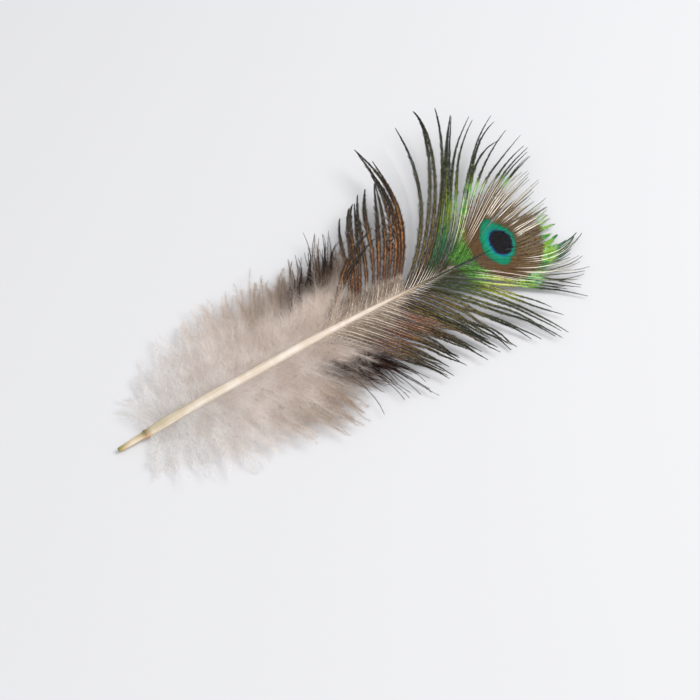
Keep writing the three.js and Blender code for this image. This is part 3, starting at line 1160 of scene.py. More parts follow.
class VaneColours(Finish):
    """The colours of the coloured barbs, and the numbers that they share.

    Loose barbs are bronze, olive or green, by where they are rooted. In the eye the colour
    follows the ring number instead. Places are in millimetres, in the feather's directions.
    """

    # Painted sheen: fibres are painted lighter in streaks, each a 55th of a barb's length, where their
    # plates catch the light.
    STREAKS_ALONG, STREAKS_ACROSS = 55.0, 7.0
    RIGHT = (0.4, -0.4)  # y where the right side's colours set in
    HUE_DRIFT = 0.14  # how far the colours drift along a barb from one barb to the next
    TO_OLIVE, TO_GREEN = (86.2, 87.4), (92, 97)  # roots where loose barbs change colour
    RIGHT_SOONER = 4.5  # how much nearer the quill the right side turns olive
    # The deep green bundle that curls up: beyond this x, and between these two y.
    CURL_X, CURL_TOP, CURL_BOTTOM = (126.0, 130.0), (-3.5, -5.5), (-15.0, -13.0)
    IRIS, BROWN, RIM = (1.98, 2.06), (2.93, 3.12), (3.55, 4.15)  # ring numbers where each ends
    BLUE_ENDS = (117.5, 121.5)  # x where the blue line round the pupil fades out
    BROWN_DULLS = (116.0, 128.0)  # x over which the brown ring grows duller
    NEAR_RIM = (118.0, 113.0)  # x where the green rim's far part gives way to its near part
    FAR_PATCH = 0.3  # patches of green to the millimetre, so about 3 mm each
    DEEP = (106.5, 103.0)  # x where the green under the eye is deepest
    LIME, LEFT = (-3.5, -9.0), (3.0, 7.0)  # y where it is lime, and where it is a left barb's
    LEFT_START, LEFT_SPAN = 102.0, 14.0  # x over which the left barbs change

    def __init__(self, name: str) -> None:
        """Reads what each vertex carries, and works out where the painted glints fall.

        Args:
            name: The material's name.
        """
        super().__init__(name)
        add = self.add
        self.share, self.hue, self.root, self.ring, self.x, self.y, out, glint = (
            add(Kind.FIELD, attribute_name=key)
            for key in ("share", "hue", "root", "ring", "x", "y", "out", "glint")
        )
        self.right = add(Kind.RISE, self.y, *self.RIGHT)
        drift = add(Kind.MULTIPLY, add(Kind.SUBTRACT, self.hue, 0.5), self.HUE_DRIFT)
        self.along = add(Kind.ADD, self.share, drift)
        along = add(Kind.MULTIPLY, self.share, self.STREAKS_ALONG)
        across = add(Kind.MULTIPLY, self.root, self.STREAKS_ACROSS)
        streak = add(Kind.NOISE, add(Kind.PLACE, along, across), 1.0, 2.0)
        self.uneven = add(Kind.SUBTRACT, streak, 0.5)
        # Painted glints: glossy fibres show their bright colour as if lit; the others and most fibre
        # tips look nearly black.
        painted_glint = add(Kind.SUBTRACT, add(Kind.MULTIPLY, glint, 1.35), add(Kind.MULTIPLY, out, 0.55))
        painted_glint = add(Kind.ADD, painted_glint, add(Kind.MULTIPLY, self.uneven, 1.3))
        self.painted_glint = add(Kind.RISE, painted_glint, 0.1, 0.95)
        # On loose barbs the colour is a narrow streak along the rib between dark edges, broken by
        # painted glints and sheen.
        core = add(Kind.SUBTRACT, add(Kind.ADD, glint, 0.45), add(Kind.MULTIPLY, out, 3.4))
        core = add(Kind.ADD, core, add(Kind.MULTIPLY, self.uneven, 2.2))
        self.green_core = add(Kind.RISE, core, 0.4, 1.15)
        self.core = add(Kind.RISE, core, 0.15, 1.0)
        # Under the eye the green is finely lined, barb by barb, over the painted glints.
        lined = add(Kind.MULTIPLY, add(Kind.SUBTRACT, self.hue, 0.6), 0.9)
        self.lined = add(Kind.ADD, self.painted_glint, lined)

    def _bronze(self) -> Socket:
        """The loose barbs nearest the quill: bronze, with pinkish copper on the right.

        Returns:
            The colour.
        """
        add = self.add
        rows = (
            ((0.0, "#523c2a"), (0.3, "#3c2416"), (0.6, "#2a1a10"), (1.0, "#16170f")),
            (
                (0.0, "#6d523c"), (0.2, "#875a40"), (0.38, "#ba8048"), (0.52, "#9c6e38"),
                (0.66, "#64492c"), (0.8, "#474430"), (1.0, "#2b302a"),
            ),
            (
                (0.0, "#8a7464"), (0.2, "#9a7466"), (0.38, "#ab7860"), (0.52, "#a07e52"),
                (0.66, "#7a6c3a"), (1.0, "#343a30"),
            ),
        )
        edge, streak, copper = (add(Kind.RAMP, self.along, stops=row) for row in rows)
        bronze = add(Kind.MIX, self.core, edge, streak)
        dull = add(Kind.MULTIPLY, self.right, add(Kind.RISE, self.along, 0.7, 0.3, 0.4))
        bronze = add(Kind.MIX, dull, bronze, "#6a5448")
        shine = add(Kind.MULTIPLY, self.right, add(Kind.RISE, self.core, 0.1, 0.9, 0.8))
        return add(Kind.MIX, shine, bronze, copper)

    def _olive(self) -> Socket:
        """The loose barbs between the bronze and the green: olive, with gold on the right.

        Returns:
            The colour.
        """
        add = self.add
        rows = (
            ((0.0, "#3a291d"), (0.4, "#2c2417"), (0.7, "#1f2018"), (1.0, "#15180f")),
            (
                (0.0, "#6a5232"), (0.15, "#7d6a34"), (0.35, "#837a36"), (0.55, "#6a6634"),
                (0.78, "#464a34"), (1.0, "#2f362e"),
            ),
            (
                (0.0, "#6a5232"), (0.15, "#75602e"), (0.35, "#a08836"), (0.55, "#867a34"),
                (0.78, "#4c5032"), (1.0, "#2f362e"),
            ),
        )
        edge, streak, gold = (add(Kind.RAMP, self.along, stops=row) for row in rows)
        olive = add(Kind.MIX, self.core, edge, streak)
        shine = add(Kind.MULTIPLY, self.right, add(Kind.RISE, self.core, 0.3, 1.0, 0.85))
        return add(Kind.MIX, shine, olive, gold)

    def _green(self) -> Socket:
        """The loose barbs nearest the eye: green, and a duller moss green on the right.

        Returns:
            The colour.
        """
        add = self.add
        rows = (
            (
                (0.0, "#352416"), (0.12, "#26301c"), (0.25, "#1c4a30"), (0.42, "#2a4a1c"),
                (0.6, "#262c18"), (1.0, "#161b16"),
            ),
            (
                (0.0, "#5c4826"), (0.08, "#5c7034"), (0.18, "#22754a"), (0.3, "#3c8f3c"),
                (0.42, "#94ae28"), (0.54, "#a4ac2c"), (0.66, "#666c36"), (0.84, "#3f4a3c"),
                (1.0, "#2e3834"),
            ),
            (
                (0.0, "#5c4826"), (0.1, "#585e32"), (0.25, "#62783a"), (0.42, "#8c9c30"),
                (0.56, "#8c9434"), (0.7, "#59643a"), (1.0, "#2e3834"),
            ),
        )
        edge, streak, moss = (add(Kind.RAMP, self.along, stops=row) for row in rows)
        green = add(Kind.MIX, self.green_core, edge, streak)
        moss = add(Kind.MIX, self.green_core, "#2b2c1a", moss)
        return add(Kind.MIX, add(Kind.MULTIPLY, self.right, 0.85), green, moss)

    def loose(self) -> Socket:
        """The loose barbs: bronze, olive and green in turn along the shaft.

        Returns:
            The colour.
        """
        add = self.add
        sooner = add(Kind.MULTIPLY, self.right, self.RIGHT_SOONER)
        place = add(Kind.ADD, add(Kind.ADD, self.root, self.hue), sooner)
        past = add(Kind.RISE, place, *self.TO_OLIVE)
        colour = add(Kind.MIX, past, self._bronze(), self._olive())
        place = add(Kind.ADD, self.root, add(Kind.MULTIPLY, self.hue, 3.0))
        past = add(Kind.RISE, place, *self.TO_GREEN)
        colour = add(Kind.MIX, past, colour, self._green())
        # One bundle that curls up beyond the eye's rim is deep green, painted lighter where its fibres
        # glint.
        beyond, below = add(Kind.RISE, self.x, *self.CURL_X), add(Kind.RISE, self.y, *self.CURL_TOP)
        curl = add(Kind.MULTIPLY, beyond, below)
        curl = add(Kind.MULTIPLY, curl, add(Kind.RISE, self.y, *self.CURL_BOTTOM))
        deep = add(
            Kind.RAMP, self.painted_glint, stops=((0.0, "#10201a"), (0.5, "#1c4234"), (1.0, "#37775a"))
        )
        return add(Kind.MIX, curl, colour, deep)

    def _far_rim(self) -> Socket:
        """The eye's far rim: green in patches, with dull olive threads between.

        Returns:
            The colour.
        """
        add = self.add
        wander = add(Kind.NOISE, add(Kind.PLACE, self.x, self.y), self.FAR_PATCH, 3.0)
        greens = (
            (0.3, "#2c6b42"), (0.42, "#4fae45"), (0.5, "#a3cf38"), (0.58, "#93d68c"),
            (0.7, "#339c6c"),
        )
        rim = add(Kind.RAMP, wander, stops=greens)
        # Painted glints: the green and the threads are lighter where the fibres glint.
        shine = add(Kind.RISE, self.painted_glint, 0.0, 1.0)
        rim = add(Kind.MIX, shine, add(Kind.MIX, 0.55, rim, "#1d3a1c"), rim)
        threads = add(Kind.MIX, shine, "#3c3826", "#7a7458")
        away_x = add(Kind.SUBTRACT, self.x, float(EYE_CENTRE[0]))
        away_y = add(Kind.SUBTRACT, self.y, float(EYE_CENTRE[1]))
        half_turns = add(Kind.DIVIDE, add(Kind.ANGLE, away_y, away_x), math.pi)
        turn = add(Kind.MULTIPLY, add(Kind.ADD, half_turns, 1.0), 0.5)
        # By the turn round the eye: white where it is green, dark where only the threads show.
        patches = (
            (0.26, "#ffffff"), (0.29, "#999999"), (0.33, "#ffffff"), (0.51, "#ffffff"),
            (0.528, "#1a1a1a"), (0.542, "#1a1a1a"), (0.55, "#bbbbbb"), (0.558, "#1a1a1a"),
            (0.622, "#1a1a1a"), (0.638, "#ffffff"), (0.652, "#444444"), (0.685, "#444444"),
            (0.7, "#ffffff"), (0.73, "#ffffff"), (0.75, "#999999"), (0.78, "#ffffff"),
        )
        return add(Kind.MIX, add(Kind.RAMP, turn, stops=patches), threads, rim)

    def _near_rim(self) -> Socket:
        """The green between the shaft and the eye: lime to the right, deep by the shaft.

        Returns:
            The colour.
        """
        add = self.add
        rows = (
            ((0.0, "#1d3811"), (0.45, "#3c762a"), (1.0, "#7dc048")),
            ((0.0, "#35340f"), (0.4, "#7f8f22"), (1.0, "#c6cc36")),
            ((0.0, "#2a2412"), (0.5, "#4a562a"), (1.0, "#6a9a44")),
        )
        below, lime, deep = (add(Kind.RAMP, self.lined, stops=row) for row in rows)
        place = add(Kind.ADD, self.y, add(Kind.MULTIPLY, self.hue, 2.5))
        below = add(Kind.MIX, add(Kind.RISE, place, *self.LIME), below, lime)
        below = add(Kind.MIX, add(Kind.RISE, self.x, *self.DEEP), below, deep)
        left = add(
            Kind.RAMP,
            add(Kind.DIVIDE, add(Kind.SUBTRACT, self.x, self.LEFT_START), self.LEFT_SPAN),
            stops=(
                (0.0, "#46744a"), (0.25, "#2c8660"), (0.5, "#569038"), (0.8, "#98b03a"),
                (1.0, "#a2bc52"),
            ),
        )
        left = add(Kind.MIX, add(Kind.RISE, self.lined, 0.1, 0.9), "#20301a", left)
        return add(Kind.MIX, add(Kind.RISE, self.y, *self.LEFT), below, left)

    def _iris(self) -> Socket:
        """The pupil and the teal round it, with a blue line between them on the near side.

        Returns:
            The colour.
        """
        add = self.add
        place = add(Kind.DIVIDE, self.ring, 2.0)
        rows = (
            (
                (0.0, "#08060b"), (0.45, "#0b0814"), (0.5, "#16306e"), (0.54, "#0d6a96"),
                (0.6, "#009a86"), (0.75, "#00966e"), (0.93, "#008460"), (1.0, "#0f6a4a"),
            ),
            (
                (0.0, "#08060b"), (0.46, "#0b0814"), (0.5, "#0b2a4a"), (0.54, "#007a74"),
                (0.75, "#00906c"), (1.0, "#0f6a4a"),
            ),
        )
        near, far = (add(Kind.RAMP, place, stops=row) for row in rows)
        iris = add(Kind.MIX, add(Kind.RISE, self.x, *self.BLUE_ENDS), near, far)
        # Painted glints: the teal is darker where the fibres don't glint.
        return add(Kind.TINT, add(Kind.RISE, self.painted_glint, 0.7, 0.0, 0.25), iris, "#0a5a48")

    def eye(self, around: Socket) -> Socket:
        """The eye's rings, from the pupil out.

        Args:
            around: The colour of the loose barbs round it.

        Returns:
            The colour.
        """
        add = self.add
        brown = add(Kind.MIX, add(Kind.RISE, self.x, *self.BROWN_DULLS), "#7c5a33", "#7f6e48")
        # Painted glints: the brown is darker where the fibres don't glint.
        brown = add(Kind.MIX, add(Kind.RISE, self.painted_glint, 0.2, 1.0, 0.75), "#4f3a22", brown)
        nearer = add(Kind.RISE, self.x, *self.NEAR_RIM)
        rim = add(Kind.MIX, nearer, self._far_rim(), self._near_rim())
        ragged = add(Kind.ADD, self.ring, add(Kind.MULTIPLY, self.uneven, 0.5))
        colour = add(Kind.MIX, add(Kind.RISE, self.ring, *self.IRIS), self._iris(), brown)
        colour = add(Kind.MIX, add(Kind.RISE, ragged, *self.BROWN), colour, rim)
        return add(Kind.MIX, add(Kind.RISE, ragged, *self.RIM), colour, around)

    def with_down_and_ribs(self, colour: Socket) -> Socket:
        """Adds the downy roots and the pale ribs.

        Args:
            colour: The colour of the fibres.

        Returns:
            The colour.
        """
        add = self.add
        rows = (
            ((0.0, "#c6b6a7"), (0.2, "#9c8877"), (0.5, "#75604f")),
            ((0.0, "#ece0cf"), (0.6, "#fbf3e6"), (0.85, "#d5ccb6"), (1.0, "#6a6a58")),
        )
        downy, pale = (add(Kind.RAMP, self.share, stops=row) for row in rows)
        coat, accent = (add(Kind.FIELD, attribute_name=key) for key in ("coat", "accent"))
        return add(Kind.MIX, accent, add(Kind.MIX, coat, downy, colour), pale)


@dataclass(frozen=True)
class VaneFinish:
    """Coloured barbs: keratin plates over dark pigment, grown in layers that reflect one
    colour. It gives the eye metallic copper, green and blue-green that look brushed on, with
    the barbs' pale ribs as fine lines between."""

    roughness: float = 0.42
    metallic: float = 0.3
    specular: float = 0.3

    def material(self) -> bpy.types.Material:
        """Builds the material.

        Returns:
            The material.
        """
        f = VaneColours("coloured barbs")
        colour = f.with_down_and_ribs(f.eye(f.loose()))
        gloss = {
            "Roughness": self.roughness,
            "Metallic": self.metallic,
            "Specular IOR Level": self.specular,
        }
        return f.finish(f.add(Kind.SURFACE, colour, named=gloss))


# ------------------------------------------------------------------------ the pieces
@dataclass(frozen=True)
class Shaft:
    """The quill and shaft: one tapered, gently arched rod with a knot and an open tip."""

    quill: float = 7.4
    knot_length: float = 1.1
    knot_radius: float = 1.25
    mouth_radius: float = 0.32
    mouth_depth: float = 1.8
    lip: float = 0.8  # the quill's radius at its rim, as a share of the full one
    flatness: float = 0.94  # the shaft's height as a share of its width
    groove: float = 0.2  # depth of the groove below, as a share of the radius
    groove_width: float = 0.35  # radians
    end: float = 0.2  # how far the shaft's point stands past the last ring
    rings: int = 300
    sides: int = 28

    CROWDING = 1.25  # over 1 sets the rings closer by the quill than at the far end
    MAP_MARGIN = 0.02

    def _outline(self) -> tuple[np.ndarray, np.ndarray]:
        """The profile from the bottom of the open tip, round its rim and along the shaft.

        Returns:
            The place of each ring along the shaft, and its radius.
        """
        x = SHAFT_LENGTH * np.linspace(0, 1, self.rings) ** self.CROWDING
        middle = self.quill + self.knot_length / 2
        knot = np.exp(-(((x - middle) / (self.knot_length * 0.5)) ** 2))
        plain = SHAFT_RADIUS.at(x)
        radius = plain + (self.knot_radius - plain) * knot * 0.95
        radius[0] *= self.lip
        inwards = np.linspace(1, 0, 6)[:-1]
        mouth = self.mouth_radius * (1 - 0.9 * inwards**2)
        return np.append(self.mouth_depth * inwards, x), np.append(mouth, radius)

    def _mesh(self, origin: np.ndarray, x: np.ndarray, radius: np.ndarray) -> bpy.types.Mesh:
        """The rod as a mesh.

        Args:
            origin: Where the quill's tip is, in metres.
            x: The place of each ring along the shaft.
            radius: Its radius.

        Returns:
            The mesh, ring by ring, with the points in the mouth and at the end last.
        """
        turn = np.arange(self.sides) * 2 * math.pi / self.sides
        dent = np.exp(-(((turn - 1.5 * math.pi) / self.groove_width) ** 2)) * self.groove
        rim = radius[:, None] * (1 - dent[None, :] * (x > self.quill)[:, None])
        y = np.cos(turn) * rim
        z = SHAFT_HEIGHT.at(x)[:, None] + np.sin(turn) * self.flatness * rim
        points = np.stack([np.broadcast_to(x[:, None], y.shape), y, z], -1).reshape(-1, 3)
        ends = [
            [self.mouth_depth, 0, float(SHAFT_HEIGHT.at(np.array(self.mouth_depth)))],
            [SHAFT_LENGTH + self.end, 0, float(SHAFT_HEIGHT.at(np.array(SHAFT_LENGTH)))],
        ]
        bottom, point = len(points), len(points) + 1
        last = len(points) - self.sides
        faces = tube_faces(len(x), self.sides).tolist()
        for k in range(self.sides):
            n = (k + 1) % self.sides
            faces.append([bottom, n, k])
            faces.append([last + k, last + n, point])
        mesh = bpy.data.meshes.new("shaft_keratin")
        mesh.from_pydata((np.concatenate([points, ends]) * MM + origin).tolist(), [], faces)
        mesh.shade_smooth()
        return mesh

    def build(self, origin: np.ndarray, material: bpy.types.Material) -> bpy.types.Object:
        """Makes the shaft.

        Args:
            origin: Where the quill's tip is, in metres.
            material: Its finish.

        Returns:
            The object.
        """
        x, radius = self._outline()
        along = np.append(np.repeat(x, self.sides), [0, SHAFT_LENGTH])
        around = np.append(np.tile(np.arange(self.sides) / self.sides, len(x)), [0, 0])
        places = np.stack([along / SHAFT_LENGTH, around], 1)
        places = self.MAP_MARGIN + (1 - 2 * self.MAP_MARGIN) * places
        fields = {"along": along, "around": around}
        return finished(self._mesh(origin, x, radius), fields, places, material)


@dataclass(frozen=True)
class Tint:
    """Where a stretch of down takes a colour: it sets in along the shaft and out along the
    barbs."""

    roots: tuple[float, float]  # where it sets in along the shaft, and where it is full
    shares: tuple[float, float]  # where it sets in along a barb, and where it is full
    end: float = 200.0  # where it starts to fade again along the shaft

    FADE = 2.5  # mm
    RAGGED_SHARE = 0.09  # how far the edge differs from barb to barb, along them
    RAGGED_ROOT = 25  # the same along the shaft, in millimetres for a whole barb's length

    def on(self, comb: Comb, rng: np.random.Generator) -> np.ndarray:
        """How strong the colour is.

        Args:
            comb: The barbs.
            rng: The source of the differences from barb to barb.

        Returns:
            An array of barbs by steps, from 0 to 1.
        """
        jitter = rng.normal(0, self.RAGGED_SHARE, (comb.count, 1))
        place = comb.roots[:, None] + jitter * self.RAGGED_ROOT
        along = smoothstep(*self.roots, place) * smoothstep(self.end + self.FADE, self.end, place)
        return along * smoothstep(*self.shares, comb.share[None, :] + jitter)


@dataclass(frozen=True)
class Down:
    """One side's down: limp wavering barbs in a loose pile, each with long fine fibres."""

    side: Side
    guides: tuple[Guide, ...]
    taupe: Tint
    tufts: Tint
    strays: tuple[Guide, ...] = ()  # lone dark barbs that hook out of the down
    speck: tuple[float, float] | None = None  # where a small dark speck lies, on the plan
    barbs: int = 176

    SPECK_RADIUS = 0.8  # mm
    SPARSE = 0.7  # length of the first barbs' fibres by the quill, as a share of the others'
    SPARSE_ROOTS = (10, 30)  # where along the shaft they are shortest, and where full
    TUFT_TRIM, TUFT_POINT = 0.15, 0.65  # how much shorter fibres are in a tuft, and at its tip
    TUFT_TIP = (0.6, 0.95)  # from where to where along a barb a tuft narrows to its tip
    NEAR_TIP, MATTED_FROM = -8, 0.5  # a barb is matted if it is this dark at this step
    MATTED_UNTIL = 0.98  # share of its length
    STRAY_DARKENS = (0.3, 0.6)  # from where to where along it a lone barb turns dark
    HABIT = Habit(
        wave=0.8, pile=1.2, shortest=0.68, bunch=(2, 7), closing=0.9, parting=0.45, spread=1.3,
        thinning=1.15,
    )
    RIB = Rib(Profile((0, 0.4, 1), (0.09, 0.055, 0.03)), sides=3, every=2, swell=1.3)
    LONG_FIBRES = Fibres(
        spacing=0.36, width=0.05, angle=50, roof=0.0, stray=0.5, curl=0.5, scatter=0.25,
        length=Profile((0, 0.15, 0.6, 0.85, 1), (2.4, 3.4, 3.0, 2.0, 0.9)), rough=0.2, patch=1.6,
        sway=12,
    )
    SHORT_FIBRES = Fibres(
        spacing=0.3, width=0.045, angle=42, roof=0.0, stray=0.7, scatter=0.3,
        length=Profile((0, 0.3, 0.8, 1), (1.2, 1.6, 1.3, 0.6)), plain=True,
    )
    MATTED_FIBRES = Fibres(
        spacing=0.2, width=0.07, angle=36, roof=0.0, stray=0.4, curl=0.5, scatter=0.3,
        length=Profile((0.3, 0.6, 0.9, 1), (1.6, 1.7, 1.0, 0.5)), start=0.34, plain=True,
    )
    STRAY_HABIT = Habit(wave=0.15, pile=0.1, shortest=0.98)
    STRAY_RIB = Rib(Profile((0, 0.6, 1), (0.05, 0.09, 0.04)), sides=3, every=2)
    STRAY_FIBRES = Fibres(
        spacing=0.3, width=0.07, angle=30, roof=0.0, stray=0.3, scatter=0.2,
        length=Profile((0, 0.5, 1), (0.9, 0.8, 0.4)), plain=True,
    )

    def _speck_on(self, comb: Comb) -> np.ndarray:
        """How strong the speck is on each step of each barb.

        Args:
            comb: The barbs.

        Returns:
            An array of barbs by steps, from 0 to 1.
        """
        if self.speck is None:
            return np.zeros(comb.curves.shape[:2])
        away = np.linalg.norm(comb.curves[..., :2] - np.array(self.speck), axis=-1)
        return smoothstep(self.SPECK_RADIUS, self.SPECK_RADIUS * 0.4, away)

    def build(
        self, origin: np.ndarray, material: bpy.types.Material, rng: np.random.Generator
    ) -> bpy.types.Object:
        """Makes the down.

        Args:
            origin: Where the quill's tip is, in metres.
            material: Its finish.
            rng: The source of irregularities.

        Returns:
            The object.
        """
        comb = Comb(self.side, self.guides, self.HABIT, rng, self.barbs)
        strips = self.barbs + len(self.strays)
        mesh = FibreMesh(f"{self.side.name.lower()}_down_barbs", strips)
        dark = self.tufts.on(comb, rng)
        narrowing = smoothstep(*self.TUFT_TIP, comb.share)[None, :]
        length = 1 - dark * (self.TUFT_TRIM + self.TUFT_POINT * narrowing)
        dark = np.maximum(dark, self._speck_on(comb))
        filled = smoothstep(*self.SPARSE_ROOTS, comb.roots)[:, None]
        length *= self.SPARSE + (1 - self.SPARSE) * filled
        dress = Dress(coat=self.taupe.on(comb, rng), accent=dark, rib=dark, stretch=length)
        self.RIB.add_to(mesh, comb, dress)
        self.LONG_FIBRES.add_to(mesh, comb, dress, rng)
        self.SHORT_FIBRES.add_to(mesh, comb, dress, rng)
        until = np.where(dark[:, self.NEAR_TIP] > self.MATTED_FROM, self.MATTED_UNTIL, 0.0)
        self.MATTED_FIBRES.add_to(mesh, comb, dress, rng, until=until)
        if self.strays:
            self._add_strays(mesh, rng)
        return mesh.build(origin, material)

    def _add_strays(self, mesh: FibreMesh, rng: np.random.Generator) -> None:
        """Adds the lone dark barbs.

        Args:
            mesh: The mesh that takes them.
            rng: The source of irregularities.
        """
        comb = Comb(self.side, self.strays, self.STRAY_HABIT, rng)
        dark = np.broadcast_to(smoothstep(*self.STRAY_DARKENS, comb.share), comb.out().shape)
        dress = Dress(coat=dark, accent=dark, rib=dark, stretch=np.ones_like(dark))
        self.STRAY_RIB.add_to(mesh, comb, dress, self.barbs)
        self.STRAY_FIBRES.add_to(mesh, comb, dress, rng, strip=self.barbs)


@dataclass(frozen=True)
class Strands:
    """One side's long loose barbs: tapered ribbons that are downy at the root, with short
    downy barbs between them."""

    side: Side
    guides: tuple[Guide, ...]
    fuzz: tuple[Guide, ...]  # the short downy barbs
    habit: Habit
    downy: Profile  # millimetres of each barb that are downy, by its place along the shaft
    base_width: Profile  # the ribbons' width at the shaft, as a share of the full width
    full_width: Profile  # the ribbons' full width, as a share of the widest
    showing: Profile  # millimetres beyond the down where the rib shows pale
    barbs: int = 0  # spread between the guides; 0 for the guides themselves
    short_barbs: int = 38

    LEAST_DOWN, LEAST_SHOWING = 0.3, 0.1  # mm
    DOWN_VARIES = 0.12  # how far the downy length differs from barb to barb, as a share
    DOWN_UNTIL = 1.15  # where the down ends, in downy lengths
    SETS_IN, FADES = (0.7, 1.3), (0.6, 1.5)  # where in them colour sets in and the pale rib fades
    FULL_DOWN, SCANTIEST = 2.5, 0.25  # mm: less down than this is shorter too, down to this share
    DOWNY_WIDTH = 0.6  # a ribbon's width in the down, as a share of its width beyond
    DOWN_COAT, DOWN_TRIM = 0.3, 0.5  # how far the outer down is coloured, and how much shorter
    WIDENING = 14  # mm beyond the down over which a ribbon comes to its full width
    PALE_ROOTS = (100, 92)  # beyond the first of these places the ribs hardly show pale
    LEAST_PALE = 0.15
    EYE_RINGS, EYE_SHARES = (3.9, 3.3), (0.15, 0.3)  # inside these a rib shows on the eye
    SHORT_PALE = 0.9  # how pale the short barbs' ribs are
    RIB = Rib(Profile((0, 0.25, 0.8, 1), (0.06, 0.05, 0.045, 0.025)), swell=0.4)
    RIBBON = Fibres(
        spacing=0.12, width=0.13, angle=34, roof=0.3, stray=0.1, curl=0.2, rough=0.1,
        length=Profile((0, 0.1, 0.35, 0.7, 0.9, 1), (1.05, 1.35, 1.5, 1.25, 0.65, 0.25)),
        scatter=0.15,
    )
    DOWN = Fibres(
        spacing=0.13, width=0.05, angle=46, roof=0.0, stray=0.35, curl=0.4,
        length=Profile((0, 0.1, 0.3, 1), (1.2, 1.8, 1.4, 1.0)), scatter=0.25,
    )
    SHORT_HABIT = Habit(wave=0.3, pile=0.5, shortest=0.7)
    SHORT_RIB = Rib(Profile((0, 1), (0.05, 0.02)), sides=3, every=3)

    def _paleness(self, comb: Comb, downy: np.ndarray) -> np.ndarray:
        """How pale the ribs are: by the down, and where they cross the eye.

        Args:
            comb: The barbs.
            downy: How many millimetres of each are downy.

        Returns:
            An array of barbs by steps, from 0 to 1.
        """
        reach = downy + np.maximum(self.showing.at(comb.roots), self.LEAST_SHOWING)
        pale = 1 - smoothstep(*self.FADES, comb.out() / reach[:, None])
        early = smoothstep(*self.PALE_ROOTS, comb.roots)[:, None]
        pale *= self.LEAST_PALE + (1 - self.LEAST_PALE) * early
        ring = ring_number(comb.curves[..., :2])
        inside = smoothstep(*self.EYE_RINGS, ring)
        return np.maximum(pale, inside * smoothstep(*self.EYE_SHARES, comb.share)[None, :])

    def _width(self, comb: Comb, downy: np.ndarray) -> np.ndarray:
        """How wide the ribbons are, as a share of the widest.

        Args:
            comb: The barbs.
            downy: How many millimetres of each are downy.

        Returns:
            An array of barbs by steps.
        """
        base = self.base_width.at(comb.roots)[:, None]
        width = base + (1 - base) * smoothstep(0, self.WIDENING, comb.out() - downy[:, None])
        return width * self.full_width.at(comb.roots)[:, None]

    def build(
        self, origin: np.ndarray, material: bpy.types.Material, rng: np.random.Generator
    ) -> bpy.types.Object:
        """Makes the strands.

        Args:
            origin: Where the quill's tip is, in metres.
            material: Their finish.
            rng: The source of irregularities.

        Returns:
            The object.
        """
        comb = Comb(self.side, self.guides, self.habit, rng, self.barbs)
        strips = comb.count + self.short_barbs
        mesh = FibreMesh(f"{self.side.name.lower()}_loose_barbs", strips)
        downy = np.maximum(self.downy.at(comb.roots), self.LEAST_DOWN)
        downy = downy * rng.normal(1, self.DOWN_VARIES, comb.count)
        coat = smoothstep(*self.SETS_IN, comb.out() / downy[:, None])
        pale = self._paleness(comb, downy)
        none = np.zeros_like(coat)
        width = (self.DOWNY_WIDTH + (1 - self.DOWNY_WIDTH) * coat) * self._width(comb, downy)
        dress = Dress(coat, none, pale, width)
        self.RIB.add_to(mesh, comb, dress)
        self.RIBBON.add_to(mesh, comb, dress, rng)
        scanty = np.clip(downy / self.FULL_DOWN, self.SCANTIEST, 1)[:, None]
        loose = Dress(coat * self.DOWN_COAT, none, pale, (1 - self.DOWN_TRIM * coat) * scanty)
        self.DOWN.add_to(mesh, comb, loose, rng, until=downy * self.DOWN_UNTIL / comb.length)
        self._add_short_barbs(mesh, comb.count, rng)
        return mesh.build(origin, material)

    def _add_short_barbs(self, mesh: FibreMesh, strip: int, rng: np.random.Generator) -> None:
        """Adds the short downy barbs between the long ones.

        Args:
            mesh: The mesh that takes them.
            strip: The first of their strips of the map.
            rng: The source of irregularities.
        """
        comb = Comb(self.side, self.fuzz, self.SHORT_HABIT, rng, self.short_barbs)
        none = np.zeros_like(comb.out())
        soft = Dress(coat=none, accent=none, rib=none + self.SHORT_PALE, stretch=none + 1)
        self.SHORT_RIB.add_to(mesh, comb, soft, strip)
        self.DOWN.add_to(mesh, comb, soft, rng, strip=strip)


